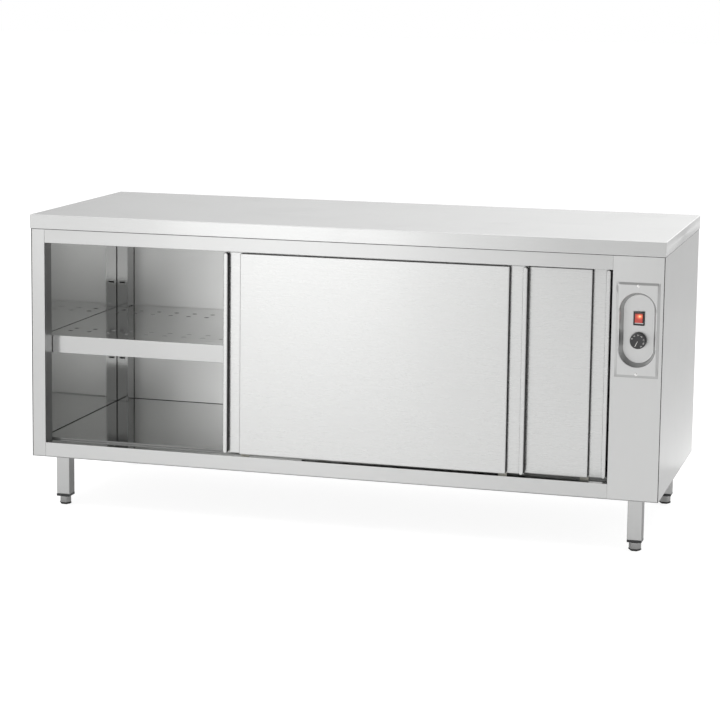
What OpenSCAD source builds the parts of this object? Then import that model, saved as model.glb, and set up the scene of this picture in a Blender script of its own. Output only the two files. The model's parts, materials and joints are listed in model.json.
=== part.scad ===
// Heated plate cabinet: a steel worktop over a two-door cupboard with one shelf,
// an electrics column at the right end and four legs with levelling feet.
// Millimetres. The origin is on the floor under the middle of the cabinet,
// +X to the right, +Y to the back and +Z up. The doors lie as in use: the front
// door stands part way along, the rear door is shut at the right.

/* [Cabinet] */
// Width across the worktop
cabinet_w = 1800; // [1700:10:2000]
// Depth across the worktop
cabinet_d = 700; // [650:10:750]
// Height of the worktop above the floor, with the feet screwed in
cabinet_h = 850; // [840:5:900]
// Height of the worktop's edge
worktop_t = 40; // [36:1:50]
// Overhang of the worktop at each side of the body
overhang_x = 2; // [1:0.5:4]
// Overhang of the worktop at the front and at the back
overhang_y = 4; // [2:0.5:6]
// Height of the body's underside above the floor
body_z = 152.5; // [140:0.5:160]
// Thickness of the outer sheets
sheet = 1.5; // [1.2:0.1:1.6]
// Thickness of the lining sheets
lining = 1; // [0.8:0.1:1.2]

/* [Front frame] */
// Width of the left stile, with the side panel's edge
stile_w = 40; // [38:1:50]
// Width of the electrics column
column_w = 137; // [134:1:150]
// Height of the top and bottom rails
rail_h = 40; // [38:1:44]
// Depth of the stiles, which the two doors slide in
frame_d = 50; // [50:1:54]

/* [Doors] */
// Overlap of the two doors when both are shut
door_overlap = 111; // [90:1:120]
// Gap between a shut door and its stile
door_gap = 10; // [8:0.5:12]
// How far the front door stands open, from shut at the left
front_door_open = 524.5; // [0:0.5:700]
// Width of the finger channel's zone at each end of a door
grip_zone = 48.5; // [46:0.5:60]
// Width of the lip along each end of a door
lip_w = 12; // [11:1:15]
// Depth of the raised panel and of the finger channels
door_relief = 18; // [17:1:18]
// Distance from the front door's lane to the rear door's lane
lane_pitch = 25; // [25:1:26]
// Radius of the rollers
roller_r = 11; // [10:0.5:12]

/* [Shelf] */
// Height of the shelf's top
shelf_z = 497; // [490:1:500]
// Height of the shelf's folded front edge
shelf_fold = 50; // [45:1:50]
// Diameter of the holes for the warm air
shelf_hole_d = 14; // [8:1:18]
// Distance between the holes of a row
shelf_hole_pitch = 58; // [50:1:70]
// Distance between the slots of an upright
slot_pitch = 119; // [110:1:125]

/* [Controls] */
// Width of the raised control plate
plate_w = 116; // [112:1:120]
// Height of the raised control plate
plate_h = 254; // [240:1:260]
// Height of the control plate's middle
plate_z = 613; // [560:1:640]
// Width of the recess in the control plate
dish_w = 96; // [92:1:98]
// Height of the recess in the control plate
dish_h = 198; // [190:1:205]
// Depth of the recess
dish_d = 30; // [26:1:32]
// Radius of the thermostat's knob
knob_r = 22; // [20:1:25]
// How far the rocker leans each way
rocker_tilt = 10; // [6:1:12]

/* [Legs] */
// Side of the square leg tube
leg_w = 40; // [38:1:45]
// Distance from the body's side to a leg
leg_inset_x = 49; // [45:1:60]
// Distance from the body's front to a front leg
leg_inset_front = 57; // [45:1:70]
// Distance from the body's back to a rear leg
leg_inset_back = 21; // [16:1:40]
// Height of the leg tube's lower end
leg_end_z = 32; // [30:1:34]

/* [Hidden] */
$fn = 48;

// Gap between pieces that only pass each other, and between fitted sheets
air = 0.3;
fit = 0.2;

// Outside of the body
body_x = cabinet_w / 2 - overhang_x;
body_y = cabinet_d / 2 - overhang_y;
frame_z = body_z + sheet;
body_top = cabinet_h - worktop_t;

// Front opening
open_l = -body_x + stile_w;
open_r = body_x - column_w;
open_b = frame_z + rail_h;
open_t = body_top - rail_h;
frame_back = -body_y + frame_d;

// Heated cupboard inside its lining
wall_t = 12;
in_l = -body_x + wall_t;
in_r = open_r;
in_back = body_y - 10;
floor_z = open_b + 5;
ceiling_z = body_top - 10;

// Doors: each front lies on its lane, and the sheets follow behind it
door_w = (open_r - open_l - 2 * door_gap + door_overlap) / 2;
front_lane = -body_y + 4;
rear_lane = front_lane + lane_pitch;
front_door_x = open_l + door_gap + front_door_open;
rear_door_x = open_r - door_gap - door_w;
door_b = open_b + 6;
door_t = open_t - 4;
hang_t = open_t + 27;
skin_t = 1.2;
door_back_t = 1.8;
panel_r = 3;
lip_r = 2.5;

// Rollers and the track that they run on
ledge_z = open_t + 8;
axle_z = ledge_z + roller_r + air;
axle_r = 3;
roller_w = 6;
roller_y = 7;
running = 0.05;
hanger_inset = 90;
track_t = 1.5;
guide_inset = 60;

// Uprights and shelf
upright_w = 36;
upright_d = 56;
upright_y = in_back - upright_d;
slot_z = [for (i = [-1:1]) 455 + i * slot_pitch];
slot_w = 18;
slot_h = 4;
shelf_l = in_l + 2;
shelf_r = in_r - 2;
shelf_front = frame_back + 4;
bracket_z = shelf_z - shelf_fold - fit;

// Tracks, and the guides under the doors
track_back = frame_back + 3;
guide_t = 1.8;
guide_y = door_relief + door_back_t + guide_t / 2;

// Control plate, its switch and its thermostat
column_mid = open_r + column_w / 2;
plate_t = 3;
screw_inset = 9;
screw_z = [plate_z - plate_h / 2 + screw_inset, plate_z + plate_h / 2 - screw_inset];
screw_hole_r = 2.1;
dish_floor_y = -body_y - plate_t + dish_d;
dish_slope = 8.5;
switch_z = plate_z + 28;
switch_w = 26;
switch_h = 32.8;
pivot_y = 5;
pivot_r = 1.5;
knob_z = plate_z - 31;
knob_y = dish_floor_y - 4;
zero_angle = 205;
spindle_hole_r = 5;
bulb_y = -150;
bulb_z = 600;

// Fan and heater
fan_y = 100;
fan_z = 420;
chamber_w = 280;
chamber_x = open_r + sheet + 15.2;
chamber_d = 60;
chamber_back = chamber_x + chamber_d;
shaft_r = 4;
ring_r = 105;
ring_end_y = 20;
ring_end_z = fan_z + sqrt(ring_r * ring_r - ring_end_y * ring_end_y);
bar_r = 4.8;
gland_x = column_mid + 20;
gland_z = 250;
cord_r = 4.5;

leg_x = body_x - leg_inset_x - leg_w / 2;
leg_y = [-body_y + leg_inset_front + leg_w / 2, body_y - leg_inset_back - leg_w / 2];
stud_r = 5;
stud_h = 8;
cap_t = 7;
spindle_r = 5;

// ---- shared shapes ----

// Extrudes a drawing of (y, z) along X, of (x, z) along Y
module along_x(len) { rotate([90, 0, 90]) linear_extrude(len) children(); }
module along_y(len) { translate([0, len, 0]) rotate([90, 0, 0]) linear_extrude(len) children(); }

// Box between two corners
module block(a, b) { translate(a) cube([b[0] - a[0], b[1] - a[1], b[2] - a[2]]); }

// Box that starts at y = 0 and is centred on x = 0 and z = 0
module centred_box(w, d, h) { translate([-w / 2, 0, -h / 2]) cube([w, d, h]); }

// Round bar along an axis, from a point
module bar_x(p, r, len) { translate(p) rotate([0, 90, 0]) cylinder(r = r, h = len); }
module bar_y(p, r, len) { translate(p) rotate([-90, 0, 0]) cylinder(r = r, h = len); }

// Rectangle with its two corners at y = 0 rounded
module front_rounded(w, d, r) {
  translate([r, 0]) square([w - 2 * r, d]);
  translate([0, r]) square([w, d - r]);
  intersection() {
    for (x = [r, w - r]) translate([x, r]) circle(r);
    square([w, d]);
  }
}

// Box whose front edges are rounded, with its front at y = 0
module front_rounded_box(w, d, h, r) {
  intersection() {
    linear_extrude(h) front_rounded(w, d, r);
    along_x(w) mirror([1, -1]) front_rounded(h, d, r);
  }
}

// Upright stadium drawn in (x, z): width, overall height
module stadium(w, h) {
  translate([-w / 2, -(h - w) / 2]) square([w, h - w]);
  for (s = [-1, 1]) translate([0, s * (h - w) / 2]) circle(w / 2);
}

// Stadium-shaped solid whose section runs from a front width to a back width
module tapered_stadium(w0, w1, h0, d) {
  straight = h0 - w0;
  for (s = [-1, 1]) translate([0, 0, s * straight / 2]) rotate([-90, 0, 0])
    cylinder(r1 = w0 / 2, r2 = w1 / 2, h = d);
  translate([0, 0, -straight / 2]) linear_extrude(straight)
    polygon([[-w0 / 2, 0], [w0 / 2, 0], [w1 / 2, d], [-w1 / 2, d]]);
}

// Upright bar with a rounded crest and round ends, its crest at y = 0
module round_ended_bar(w, d, r, h) {
  intersection() {
    linear_extrude(h) front_rounded(w, d, r);
    translate([w / 2, 0, h / 2]) along_y(d) stadium(w, h);
  }
}

// Direction of a route at a point: along its neighbours
function heading(p, i) =
  let (v = p[min(i + 1, len(p) - 1)] - p[max(i - 1, 0)]) v / norm(v);

// Two directions square to a heading
function side_of(v) = let (s = cross(v, [0.3, 0.2, 1])) s / norm(s);

// Wire through a list of points, as one eight-sided tube
module wire(points, r) {
  sides = 8;
  last = len(points) - 1;
  rings = [for (i = [0:last]) let (v = heading(points, i), s = side_of(v), t = cross(v, s))
    for (k = [0:sides - 1]) points[i] + r * (cos(k * 360 / sides) * s + sin(k * 360 / sides) * t)];
  polyhedron(rings, concat(
    [[for (k = [0:sides - 1]) k]],
    [[for (k = [0:sides - 1]) last * sides + sides - 1 - k]],
    [for (i = [0:last - 1], k = [0:sides - 1]) let (a = i * sides + k,
      b = i * sides + (k + 1) % sides) [a, a + sides, b]],
    [for (i = [0:last - 1], k = [0:sides - 1]) let (a = i * sides + k,
      b = i * sides + (k + 1) % sides) [b, a + sides, b + sides]]));
}

// ---- worktop ----

module worktop() color("gainsboro") {
  round_r = 2;
  lip = 25;
  difference() {
    intersection() {
      translate([-cabinet_w / 2, -cabinet_d / 2, body_top])
        along_x(cabinet_w) top_rounded(cabinet_d, worktop_t, round_r);
      translate([-cabinet_w / 2, -cabinet_d / 2, body_top])
        along_y(cabinet_d) top_rounded(cabinet_w, worktop_t, round_r);
    }
    block([-cabinet_w / 2 + sheet, -cabinet_d / 2 + sheet, body_top + sheet],
      [cabinet_w / 2 - sheet, cabinet_d / 2 - sheet, cabinet_h - sheet]);
    block([-cabinet_w / 2 + lip, -cabinet_d / 2 + lip, body_top - 1],
      [cabinet_w / 2 - lip, cabinet_d / 2 - lip, body_top + 2 * sheet]);
  }
}

module top_rounded(w, h, r) {
  square([w, h - r]);
  translate([r, 0]) square([w - 2 * r, h]);
  for (x = [r, w - r]) translate([x, h - r]) circle(r);
}

module worktop_core() color("burlywood") {
  core_t = 18;
  inset = sheet + 1;
  block([-cabinet_w / 2 + inset, -cabinet_d / 2 + inset, cabinet_h - sheet - core_t],
    [cabinet_w / 2 - inset, cabinet_d / 2 - inset, cabinet_h - sheet]);
}

// ---- body ----

module ceiling_panel() color("silver") difference() {
  block([in_l, frame_back, ceiling_z], [in_r, in_back + lining, body_top]);
  block([in_l + lining, frame_back + lining, ceiling_z + lining],
    [in_r - lining, in_back, body_top + 1]);
}

// Side sheet with a flange turned in along its back edge
module side_panel() {
  flange = 16;
  block([0, -body_y, frame_z], [sheet, body_y, body_top]);
  block([0, body_y - 2 * sheet, frame_z], [flange, body_y - sheet, body_top]);
}

module left_outer_panel() color("silver") translate([-body_x, 0, 0]) side_panel();

module left_liner() color("darkgray")
  block([in_l - lining, frame_back, floor_z], [in_l, in_back, ceiling_z]);

module right_cover() color("silver") mirror([1, 0, 0]) translate([-body_x, 0, 0]) side_panel();

// Wall between the cupboard and the column, with slots for the fan's air
module column_partition() color("darkgray") difference() {
  block([open_r, frame_back, frame_z], [open_r + sheet, body_y - 2 * sheet - fit, body_top]);
  for (i = [-3:3]) let (half = sqrt(60 * 60 - pow(i * 16, 2)))
    block([open_r - 1, fan_y - half, fan_z + i * 16 - 3],
      [open_r + sheet + 1, fan_y + half, fan_z + i * 16 + 3]);
  for (s = [-1, 1], i = [-4:4])
    block([open_r - 1, fan_y + s * 110 - 16, fan_z + i * 26 - 3],
      [open_r + sheet + 1, fan_y + s * 110 + 16, fan_z + i * 26 + 3]);
  bar_x([open_r - 1, bulb_y, bulb_z], 4, sheet + 2);
}

module back_outer_panel() color("silver") difference() {
  block([-body_x + sheet, body_y - sheet, frame_z], [body_x - sheet, body_y, body_top]);
  for (i = [0:7]) block([column_mid - 32, body_y - 5, 600 + i * 16],
    [column_mid + 32, body_y + 1, 605 + i * 16]);
  bar_y([gland_x, body_y - 5, gland_z], 8.1, 10);
}

module back_liner() color("darkgray")
  block([in_l, in_back, floor_z], [in_r, in_back + lining, ceiling_z]);

module floor_liner() color("darkgray") {
  block([in_l - lining, track_back, floor_z - lining], [in_r, in_back + lining, floor_z]);
  block([in_l - lining, track_back, open_b - 10], [in_r, track_back + lining, floor_z - lining]);
}

module base_panel() color("silver") difference() {
  block([-body_x, -body_y, body_z], [body_x, body_y, frame_z]);
  for (x = [-leg_x, leg_x], y = leg_y)
    translate([x, y, body_z - 1]) cylinder(r = stud_r + fit, h = 4);
}

// Mineral wool behind the left, back, floor, ceiling and column linings
module insulation_mats() color("khaki") {
  left_x = -body_x + sheet + fit;
  back_end = body_y - 2 * sheet - fit;
  block([left_x, frame_back + fit, frame_z + fit], [in_l - lining - fit, back_end, body_top - fit]);
  block([in_l + fit, in_back + lining + fit, frame_z + fit], [in_r - fit, back_end, body_top - fit]);
  block([open_l + fit, track_back + 4, frame_z + stud_h + 1],
    [in_r - fit, in_back - fit, floor_z - lining - fit]);
  block([in_l + 2, frame_back + 2, ceiling_z + lining + fit], [in_r - 2, in_back - 2, body_top - fit]);
  difference() {
    block([open_r + sheet + fit, frame_back + 10, frame_z + 10],
      [chamber_x - fit, in_back, body_top - 10]);
    block([open_r, fan_y - chamber_w / 2 + 5, fan_z - chamber_w / 2 + 5],
      [chamber_x + 1, fan_y + chamber_w / 2 - 5, fan_z + chamber_w / 2 - 5]);
    bar_x([open_r, bulb_y, bulb_z], 6, 20);
  }
}

// ---- front frame ----

// Folded rail drawn in (y, z), with its face at y = -body_y
module top_rail() color("gainsboro") {
  hem = 4;
  block([open_l, -body_y, open_t], [open_r, -body_y + sheet, body_top]);
  block([open_l, -body_y + sheet, open_t], [open_r, -body_y + 2 * sheet, open_t + hem]);
  block([open_l, -body_y + sheet, body_top - sheet], [open_r, frame_back, body_top]);
}

module bottom_rail() color("gainsboro") {
  ledge = open_b - 10;
  block([open_l, -body_y, frame_z], [open_r, -body_y + sheet, open_b]);
  block([open_l, -body_y + sheet, frame_z], [open_r, -body_y + 20, frame_z + sheet]);
  block([open_l, -body_y + sheet, ledge - sheet], [open_r, frame_back - 2, ledge]);
}

module left_stile() color("gainsboro") difference() {
  block([-body_x + sheet, -body_y, frame_z], [open_l, frame_back, body_top]);
  block([-body_x + 2 * sheet, -body_y + sheet, frame_z - 1],
    [open_l - sheet, frame_back - sheet, body_top + 1]);
}

module control_stile() color("gainsboro") difference() {
  union() {
    block([open_r, -body_y, frame_z], [body_x - sheet, -body_y + sheet, body_top]);
    block([open_r, -body_y, frame_z], [open_r + sheet, frame_back, body_top]);
    block([body_x - 2 * sheet, -body_y, frame_z], [body_x - sheet, -body_y + 20, body_top]);
  }
  translate([column_mid, -body_y - 5, plate_z]) along_y(15) stadium(dish_w + 8, dish_h + 8);
  for (z = screw_z) bar_y([column_mid, -body_y - 5, z], screw_hole_r, 15);
}

// C-shaped upright with three slots in its front
module slotted_upright() difference() {
  block([0, 0, floor_z], [upright_w, upright_d, ceiling_z]);
  block([sheet, sheet, floor_z - 1], [upright_w - sheet, upright_d + 1, ceiling_z + 1]);
  for (z = slot_z) block([(upright_w - slot_w) / 2, -1, z - slot_h / 2],
    [(upright_w + slot_w) / 2, sheet + 1, z + slot_h / 2]);
}

module rear_left_upright() color("silver") translate([in_l, upright_y, 0]) slotted_upright();
module rear_right_upright() color("silver")
  translate([in_r - upright_w, upright_y, 0]) slotted_upright();

// ---- shelf ----

module shelf() color("gainsboro") {
  return_w = 15;
  notch = upright_w + 2;
  notch_y = upright_y - 3;
  rows = [-200, -153, 166, 221];
  first_hole = 44;
  last_hole = floor((shelf_r - shelf_l - first_hole - 30) / shelf_hole_pitch);
  bottom = shelf_z - shelf_fold;
  difference() {
    block([shelf_l, shelf_front, bottom], [shelf_r, in_back - 2, shelf_z]);
    block([shelf_l + skin_t, shelf_front + skin_t, bottom + skin_t],
      [shelf_r - skin_t, in_back - 2 - skin_t, shelf_z - skin_t]);
    block([shelf_l + return_w, shelf_front + return_w, bottom - 1],
      [shelf_r - return_w, in_back - 2 - return_w, bottom + 2]);
    for (x = [shelf_l - 1, shelf_r + 1 - notch]) block([x, notch_y, bottom - 1],
      [x + notch, in_back, shelf_z + 1]);
    for (y = rows, i = [0:last_hole])
      translate([shelf_l + first_hole + i * shelf_hole_pitch, y, shelf_z - 3])
        cylinder(d = shelf_hole_d, h = 5, $fn = 24);
  }
}

// Angle that hooks into a slot, its plate at x = 0 and its ledge along +X
module bracket(hook) {
  w = 16;
  block([0, -w / 2, bracket_z - sheet], [26, w / 2, bracket_z]);
  block([0, -w / 2, bracket_z], [sheet, w / 2, bracket_z + 12]);
  if (hook) block([-4, -w / 2 + 1, slot_z[1] - 1.2], [0, w / 2 - 1, slot_z[1] + 1.2]);
}

module shelf_brackets() color("silver") {
  front_y = shelf_front + 30;
  translate([in_l, front_y, 0]) bracket(false);
  translate([in_r, front_y, 0]) mirror([1, 0, 0]) bracket(false);
  for (x = [in_l + upright_w / 2, in_r - upright_w / 2])
    translate([x, upright_y, 0]) rotate([0, 0, -90]) bracket(true);
}

// ---- tracks ----

// Plate with a ledge for each lane, and tabs that stop each door at its ends
module top_track() color("silver") {
  plate_b = body_top - sheet - 2;
  tab = door_gap - air;
  block([open_l, front_lane + 2.5, plate_b], [open_r, frame_back, plate_b + 2]);
  for (lane = [front_lane, rear_lane]) {
    block([open_l, lane + 2.5, ledge_z - 2], [open_r, lane + 2.5 + track_t, plate_b]);
    block([open_l, lane + 2.5, ledge_z - 2], [open_r, lane + 15, ledge_z]);
    for (x = [open_l, open_r - tab])
      block([x, lane + 17, hang_t - 12], [x + tab, lane + 20.8, plate_b]);
  }
}

// Strip with one groove for each door's guides
module bottom_track() color("silver") difference() {
  half = guide_t / 2 + 0.8;
  block([open_l, -body_y + sheet, open_b - 10], [open_r, track_back, open_b]);
  for (y = [front_lane + guide_y, rear_lane + guide_y])
    block([open_l - 1, y - half, open_b - 7], [open_r + 1, y + half, open_b + 1]);
}

// ---- doors, each drawn with its left front edge at the origin ----

module door_skin() {
  panel_w = door_w - 2 * grip_zone;
  h = door_t - door_b;
  difference() {
    union() {
      translate([grip_zone, 0, door_b]) front_rounded_box(panel_w, door_relief, h, panel_r);
      block([0, door_relief - skin_t, door_b], [door_w, door_relief, door_t]);
      for (x = [0, door_w - lip_w]) translate([x, 0, door_b])
        round_ended_bar(lip_w, door_relief, lip_r, h);
    }
    translate([grip_zone + skin_t, skin_t, door_b + skin_t])
      front_rounded_box(panel_w - 2 * skin_t, door_relief, h - 2 * skin_t, panel_r - skin_t);
    for (x = [0, door_w - lip_w])
      block([x + 3, 3, door_b + lip_w], [x + lip_w - 3, door_relief + 1, door_t - lip_w]);
  }
}

module door_core() {
  inset = skin_t + panel_r;
  block([grip_zone + inset, skin_t + fit, door_b + inset],
    [door_w - grip_zone - inset, door_relief, door_t - inset]);
}

module door_back() difference() {
  block([0, door_relief, door_b], [door_w, door_relief + door_back_t, hang_t]);
  for (x = [hanger_inset, door_w - hanger_inset])
    bar_y([x, door_relief - 1, axle_z], axle_r + running, door_back_t + 2);
}

// Shoulder bolt that carries a roller, with its nut behind the door
module hanger() {
  head_r = 5;
  head_t = 1.5;
  nut_t = 2;
  back = door_relief + door_back_t;
  shoulder_y = roller_y + roller_w + air;
  bar_y([0, roller_y - air - head_t, axle_z], head_r, head_t);
  bar_y([0, roller_y - air - 0.1, axle_z], axle_r, back + nut_t - roller_y + air);
  bar_y([0, shoulder_y, axle_z], head_r, door_relief - shoulder_y);
  difference() {
    translate([0, back, axle_z]) rotate([-90, 0, 0]) cylinder(r = 5.7, h = nut_t, $fn = 6);
    bar_y([0, back - 1, axle_z], axle_r - 0.5, 4);
  }
}

module door_hangers() for (x = [hanger_inset, door_w - hanger_inset])
  translate([x, 0, 0]) hanger();

module door_guides() {
  back = door_relief + door_back_t;
  for (x = [guide_inset, door_w - guide_inset])
    block([x - 12, back, open_b - 5], [x + 12, back + guide_t, door_b + 14]);
}

module roller(x) {
  half = roller_w / 2;
  translate([x, roller_y + half, axle_z]) rotate([90, 0, 0]) rotate_extrude()
    polygon([[axle_r + running, -half], [roller_r - 1, -half], [roller_r, -half + 1],
      [roller_r, half - 1], [roller_r - 1, half], [axle_r + running, half]]);
}

module on_front_door() { translate([front_door_x, front_lane, 0]) children(); }
module on_rear_door() { translate([rear_door_x, rear_lane, 0]) children(); }

module front_door_skin() color("whitesmoke") on_front_door() door_skin();
module front_door_core() color("khaki") on_front_door() door_core();
module front_door_back() color("silver") on_front_door() door_back();
module front_door_hangers() color("dimgray") on_front_door() door_hangers();
module front_door_guides() color("ivory") on_front_door() door_guides();
module front_left_roller() color("ivory") on_front_door() roller(hanger_inset);
module front_right_roller() color("ivory") on_front_door() roller(door_w - hanger_inset);
module rear_door_skin() color("whitesmoke") on_rear_door() door_skin();
module rear_door_core() color("khaki") on_rear_door() door_core();
module rear_door_back() color("silver") on_rear_door() door_back();
module rear_door_hangers() color("dimgray") on_rear_door() door_hangers();
module rear_door_guides() color("ivory") on_rear_door() door_guides();
module rear_left_roller() color("ivory") on_rear_door() roller(hanger_inset);
module rear_right_roller() color("ivory") on_rear_door() roller(door_w - hanger_inset);

// ---- controls ----

// Raised plate with rounded edges and a stadium dish
module control_plate() color("silver") translate([column_mid, -body_y - plate_t, plate_z])
  difference() {
    union() {
      translate([-plate_w / 2, 0, -plate_h / 2])
        front_rounded_box(plate_w, plate_t, plate_h, plate_t - 0.5);
      tapered_stadium(dish_w + 3, dish_w + 3 - 2 * dish_slope, dish_h + 3, dish_d + sheet);
    }
    translate([0, -0.01, 0])
      tapered_stadium(dish_w, dish_w - 2 * dish_slope, dish_h, dish_d + 0.01);
    for (z = screw_z) bar_y([0, -1, z - plate_z], screw_hole_r, 10);
    translate([0, dish_d - 1, switch_z - plate_z]) centred_box(switch_w + 2 * fit, 5, switch_h + 2 * fit);
    bar_y([0, dish_d - 1, knob_z - plate_z], spindle_hole_r, 5);
  }

// Domed screws with a cross slot, each head a cap of a ball
module control_screws() color("lightgray") {
  head_r = 4;
  dome = 0.95;
  ball_r = (head_r * head_r + dome * dome) / (2 * dome);
  for (z = screw_z) translate([column_mid, -body_y - plate_t, z]) {
    difference() {
      intersection() {
        translate([0, ball_r - dome, 0]) sphere(ball_r);
        bar_y([0, -3, 0], head_r, 3);
      }
      for (a = [45, 135]) rotate([0, a, 0]) translate([-2.5, -3, -0.4]) cube([5, 2.5, 0.8]);
    }
    bar_y([0, -0.2, 0], 2, 14);
  }
}

// Frame, body and terminals of the switch, with a pin for the rocker
module switch_housing() color("black") translate([column_mid, dish_floor_y, switch_z]) {
  frame_w = 30;
  frame_h = 36.5;
  frame_t = 4;
  wall = 1.4;
  body_d = 22;
  difference() {
    union() {
      translate([-frame_w / 2, -frame_t, -frame_h / 2])
        front_rounded_box(frame_w, frame_t, frame_h, 1.5);
      centred_box(switch_w, body_d, switch_h);
    }
    translate([0, -frame_t - 1, 0])
      centred_box(switch_w - 2 * wall, body_d - 5, switch_h - 2 * wall);
  }
  bar_x([-switch_w / 2 + 0.5, pivot_y, 0], pivot_r, switch_w - 1);
  for (x = [-6, 6], z = [-8, 8]) translate([x, body_d, z]) centred_box(0.8, 8, 6);
}

// Rocker with two faces: at rest its upper half is pressed in
module rocker() color("orangered") translate([column_mid, dish_floor_y + pivot_y, switch_z])
  rotate([-rocker_tilt, 0, 0]) difference() {
    w = 22.4;
    half = 13.2;
    translate([-w / 2, 0, 0]) along_x(w)
      polygon([[-8.2, -half], [-6.4, 0], [-8.2, half], [-3, half], [3, 4], [3, -4], [-3, -half]]);
    bar_x([-w / 2 - 1, 0, 0], pivot_r + running, w + 2);
  }

// Thermostat with its spindle, thin tube and feeler in the cupboard
module thermostat() color("dimgray") {
  translate([column_mid, dish_floor_y + sheet, knob_z]) {
    block([-21, 0, -21], [21, 30, 21]);
    bar_y([0, -12, 0], 3, 12);
  }
  feeler_x = open_r - 8;
  wire([[column_mid - 15, dish_floor_y + 31, knob_z], [column_mid - 15, -200, knob_z],
    [column_mid - 15, bulb_y, knob_z - 5], [chamber_x + 5, bulb_y, bulb_z],
    [feeler_x, bulb_y, bulb_z], [feeler_x, bulb_y + 20, bulb_z]], 1.2);
  bar_y([feeler_x, bulb_y + 20, bulb_z], 3, 90);
}

// Round knob with a flat face, a raised foot and a groove for its zero line
module knob() color("black") translate([column_mid, knob_y, knob_z]) difference() {
  knob_h = 14;
  groove_w = 1.2;
  rotate([90, 0, 0]) rotate_extrude()
    polygon([[3 + running, 0], [knob_r, 0], [knob_r, 4], [knob_r - 0.8, 5], [knob_r - 1.2, knob_h - 2],
      [knob_r - 2.5, knob_h], [0, knob_h], [0, 9], [3 + running, 9]]);
  rotate([0, zero_angle, 0]) translate([-groove_w / 2, -knob_h - 0.5, 0])
    cube([groove_w, groove_w, 15.5]);
}

module safety_cutout() color("dimgray") translate([chamber_back, fan_y - 90, fan_z + 90]) {
  bar_x([0, 0, 0], 9, 12);
  block([0, -16, -4], [1.5, 16, 4]);
  for (s = [-1, 1]) block([12, s * 5 - 3, -0.4], [20, s * 5 + 3, 0.4]);
}

module terminal_block() color("ivory") translate([column_mid + 10, -40, 0]) difference() {
  union() {
    block([-30, -11, frame_z], [30, 11, frame_z + 4]);
    for (i = [-2:2]) block([i * 11 - 5, -9, frame_z + 4], [i * 11 + 5, 9, frame_z + 22]);
  }
  for (i = [-2:2], s = [-1, 1]) translate([i * 11, s * 5, frame_z + 10]) cylinder(r = 2.2, h = 20);
}

// ---- air heating in the column ----

module fan_chamber() color("silver") difference() {
  half = chamber_w / 2;
  block([chamber_x, fan_y - half, fan_z - half], [chamber_back, fan_y + half, fan_z + half]);
  block([chamber_x - 1, fan_y - half + lining, fan_z - half + lining],
    [chamber_back - lining, fan_y + half - lining, fan_z + half - lining]);
  bar_x([chamber_back - 5, fan_y, fan_z], shaft_r + 2, 10);
  for (s = [-1, 1]) bar_x([chamber_back - 5, fan_y + s * ring_end_y, ring_end_z], bar_r + fit, 10);
}

module fan_motor() color("dimgray") {
  bar_x([chamber_back, fan_y, fan_z], 35, 34);
  bar_x([chamber_back + 34, fan_y, fan_z], 22, 8);
  bar_x([chamber_x + 12, fan_y, fan_z], shaft_r, chamber_d - 10);
}

// Disc with straight blades round a hub
module fan_impeller() color("silver") translate([chamber_x + 14, fan_y, fan_z])
  rotate([0, 90, 0]) difference() {
    union() {
      translate([0, 0, 26]) cylinder(r = 75, h = 1.5);
      cylinder(r = 12, h = 27);
      for (i = [0:11]) rotate([0, 0, i * 30]) translate([45, -0.6, 0]) cube([28, 1.2, 27]);
    }
    translate([0, 0, -1]) cylinder(r = shaft_r + running, h = 40);
  }

// Ring-shaped tubular heater whose ends pass through the chamber's back
module heating_element() color("saddlebrown") {
  ring_x = chamber_x + 30;
  half_gap = asin(ring_end_y / ring_r);
  translate([ring_x, fan_y, fan_z]) rotate([0, 90, 0]) rotate([0, 0, 180 + half_gap])
    rotate_extrude(angle = 360 - 2 * half_gap) translate([ring_r, 0]) circle(4.2);
  for (s = [-1, 1]) {
    bar_x([ring_x - bar_r, fan_y + s * ring_end_y, ring_end_z], bar_r, chamber_back - ring_x + 22);
    translate([chamber_back, fan_y + s * ring_end_y, ring_end_z]) rotate([0, 90, 0])
      cylinder(r = 8, h = 3, $fn = 6);
  }
}

// ---- mains inlet and wiring; the cord itself isn't part of the cabinet ----

module cable_gland() color("black") difference() {
  union() {
    bar_y([gland_x, body_y - 12, gland_z], 8, 16);
    translate([gland_x, body_y - sheet - 5, gland_z]) rotate([-90, 0, 0])
      cylinder(r = 12, h = 5, $fn = 6);
    translate([gland_x, body_y, gland_z]) rotate([-90, 0, 0]) cylinder(r = 11, h = 2, $fn = 6);
    bar_y([gland_x, body_y + 2, gland_z], 8.5, 1.9);
  }
  bar_y([gland_x, body_y - 20, gland_z], cord_r, 40);
}

module wiring_loom() color("dimgray") {
  term = [column_mid + 10, -40, frame_z + 26];
  r = 2;
  wire([[gland_x, body_y - 30, gland_z], [gland_x, 285, gland_z - 20],
    [gland_x, 285, frame_z + 30], [gland_x, 0, frame_z + 30], term], 4);
  wire([term, [column_mid, -200, frame_z + 60], [column_mid, -250, switch_z - 60],
    [column_mid + 30, -260, switch_z], [column_mid + 6, dish_floor_y + 33, switch_z + 8]], r);
  wire([term, [column_mid + 30, -180, frame_z + 80], [column_mid + 30, -240, knob_z],
    [column_mid + 12, dish_floor_y + 34, knob_z]], r);
  wire([term, [chamber_back + 25, -80, fan_z - 160], [chamber_back + 25, fan_y - 60, fan_z],
    [chamber_back + 20, fan_y - 38, fan_z]], r);
  wire([term, [chamber_back + 35, -90, fan_z - 100], [chamber_back + 30, -60, fan_z + 130],
    [chamber_back + 24, fan_y - 20, fan_z + ring_r]], r);
}

// ---- legs and feet ----

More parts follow.
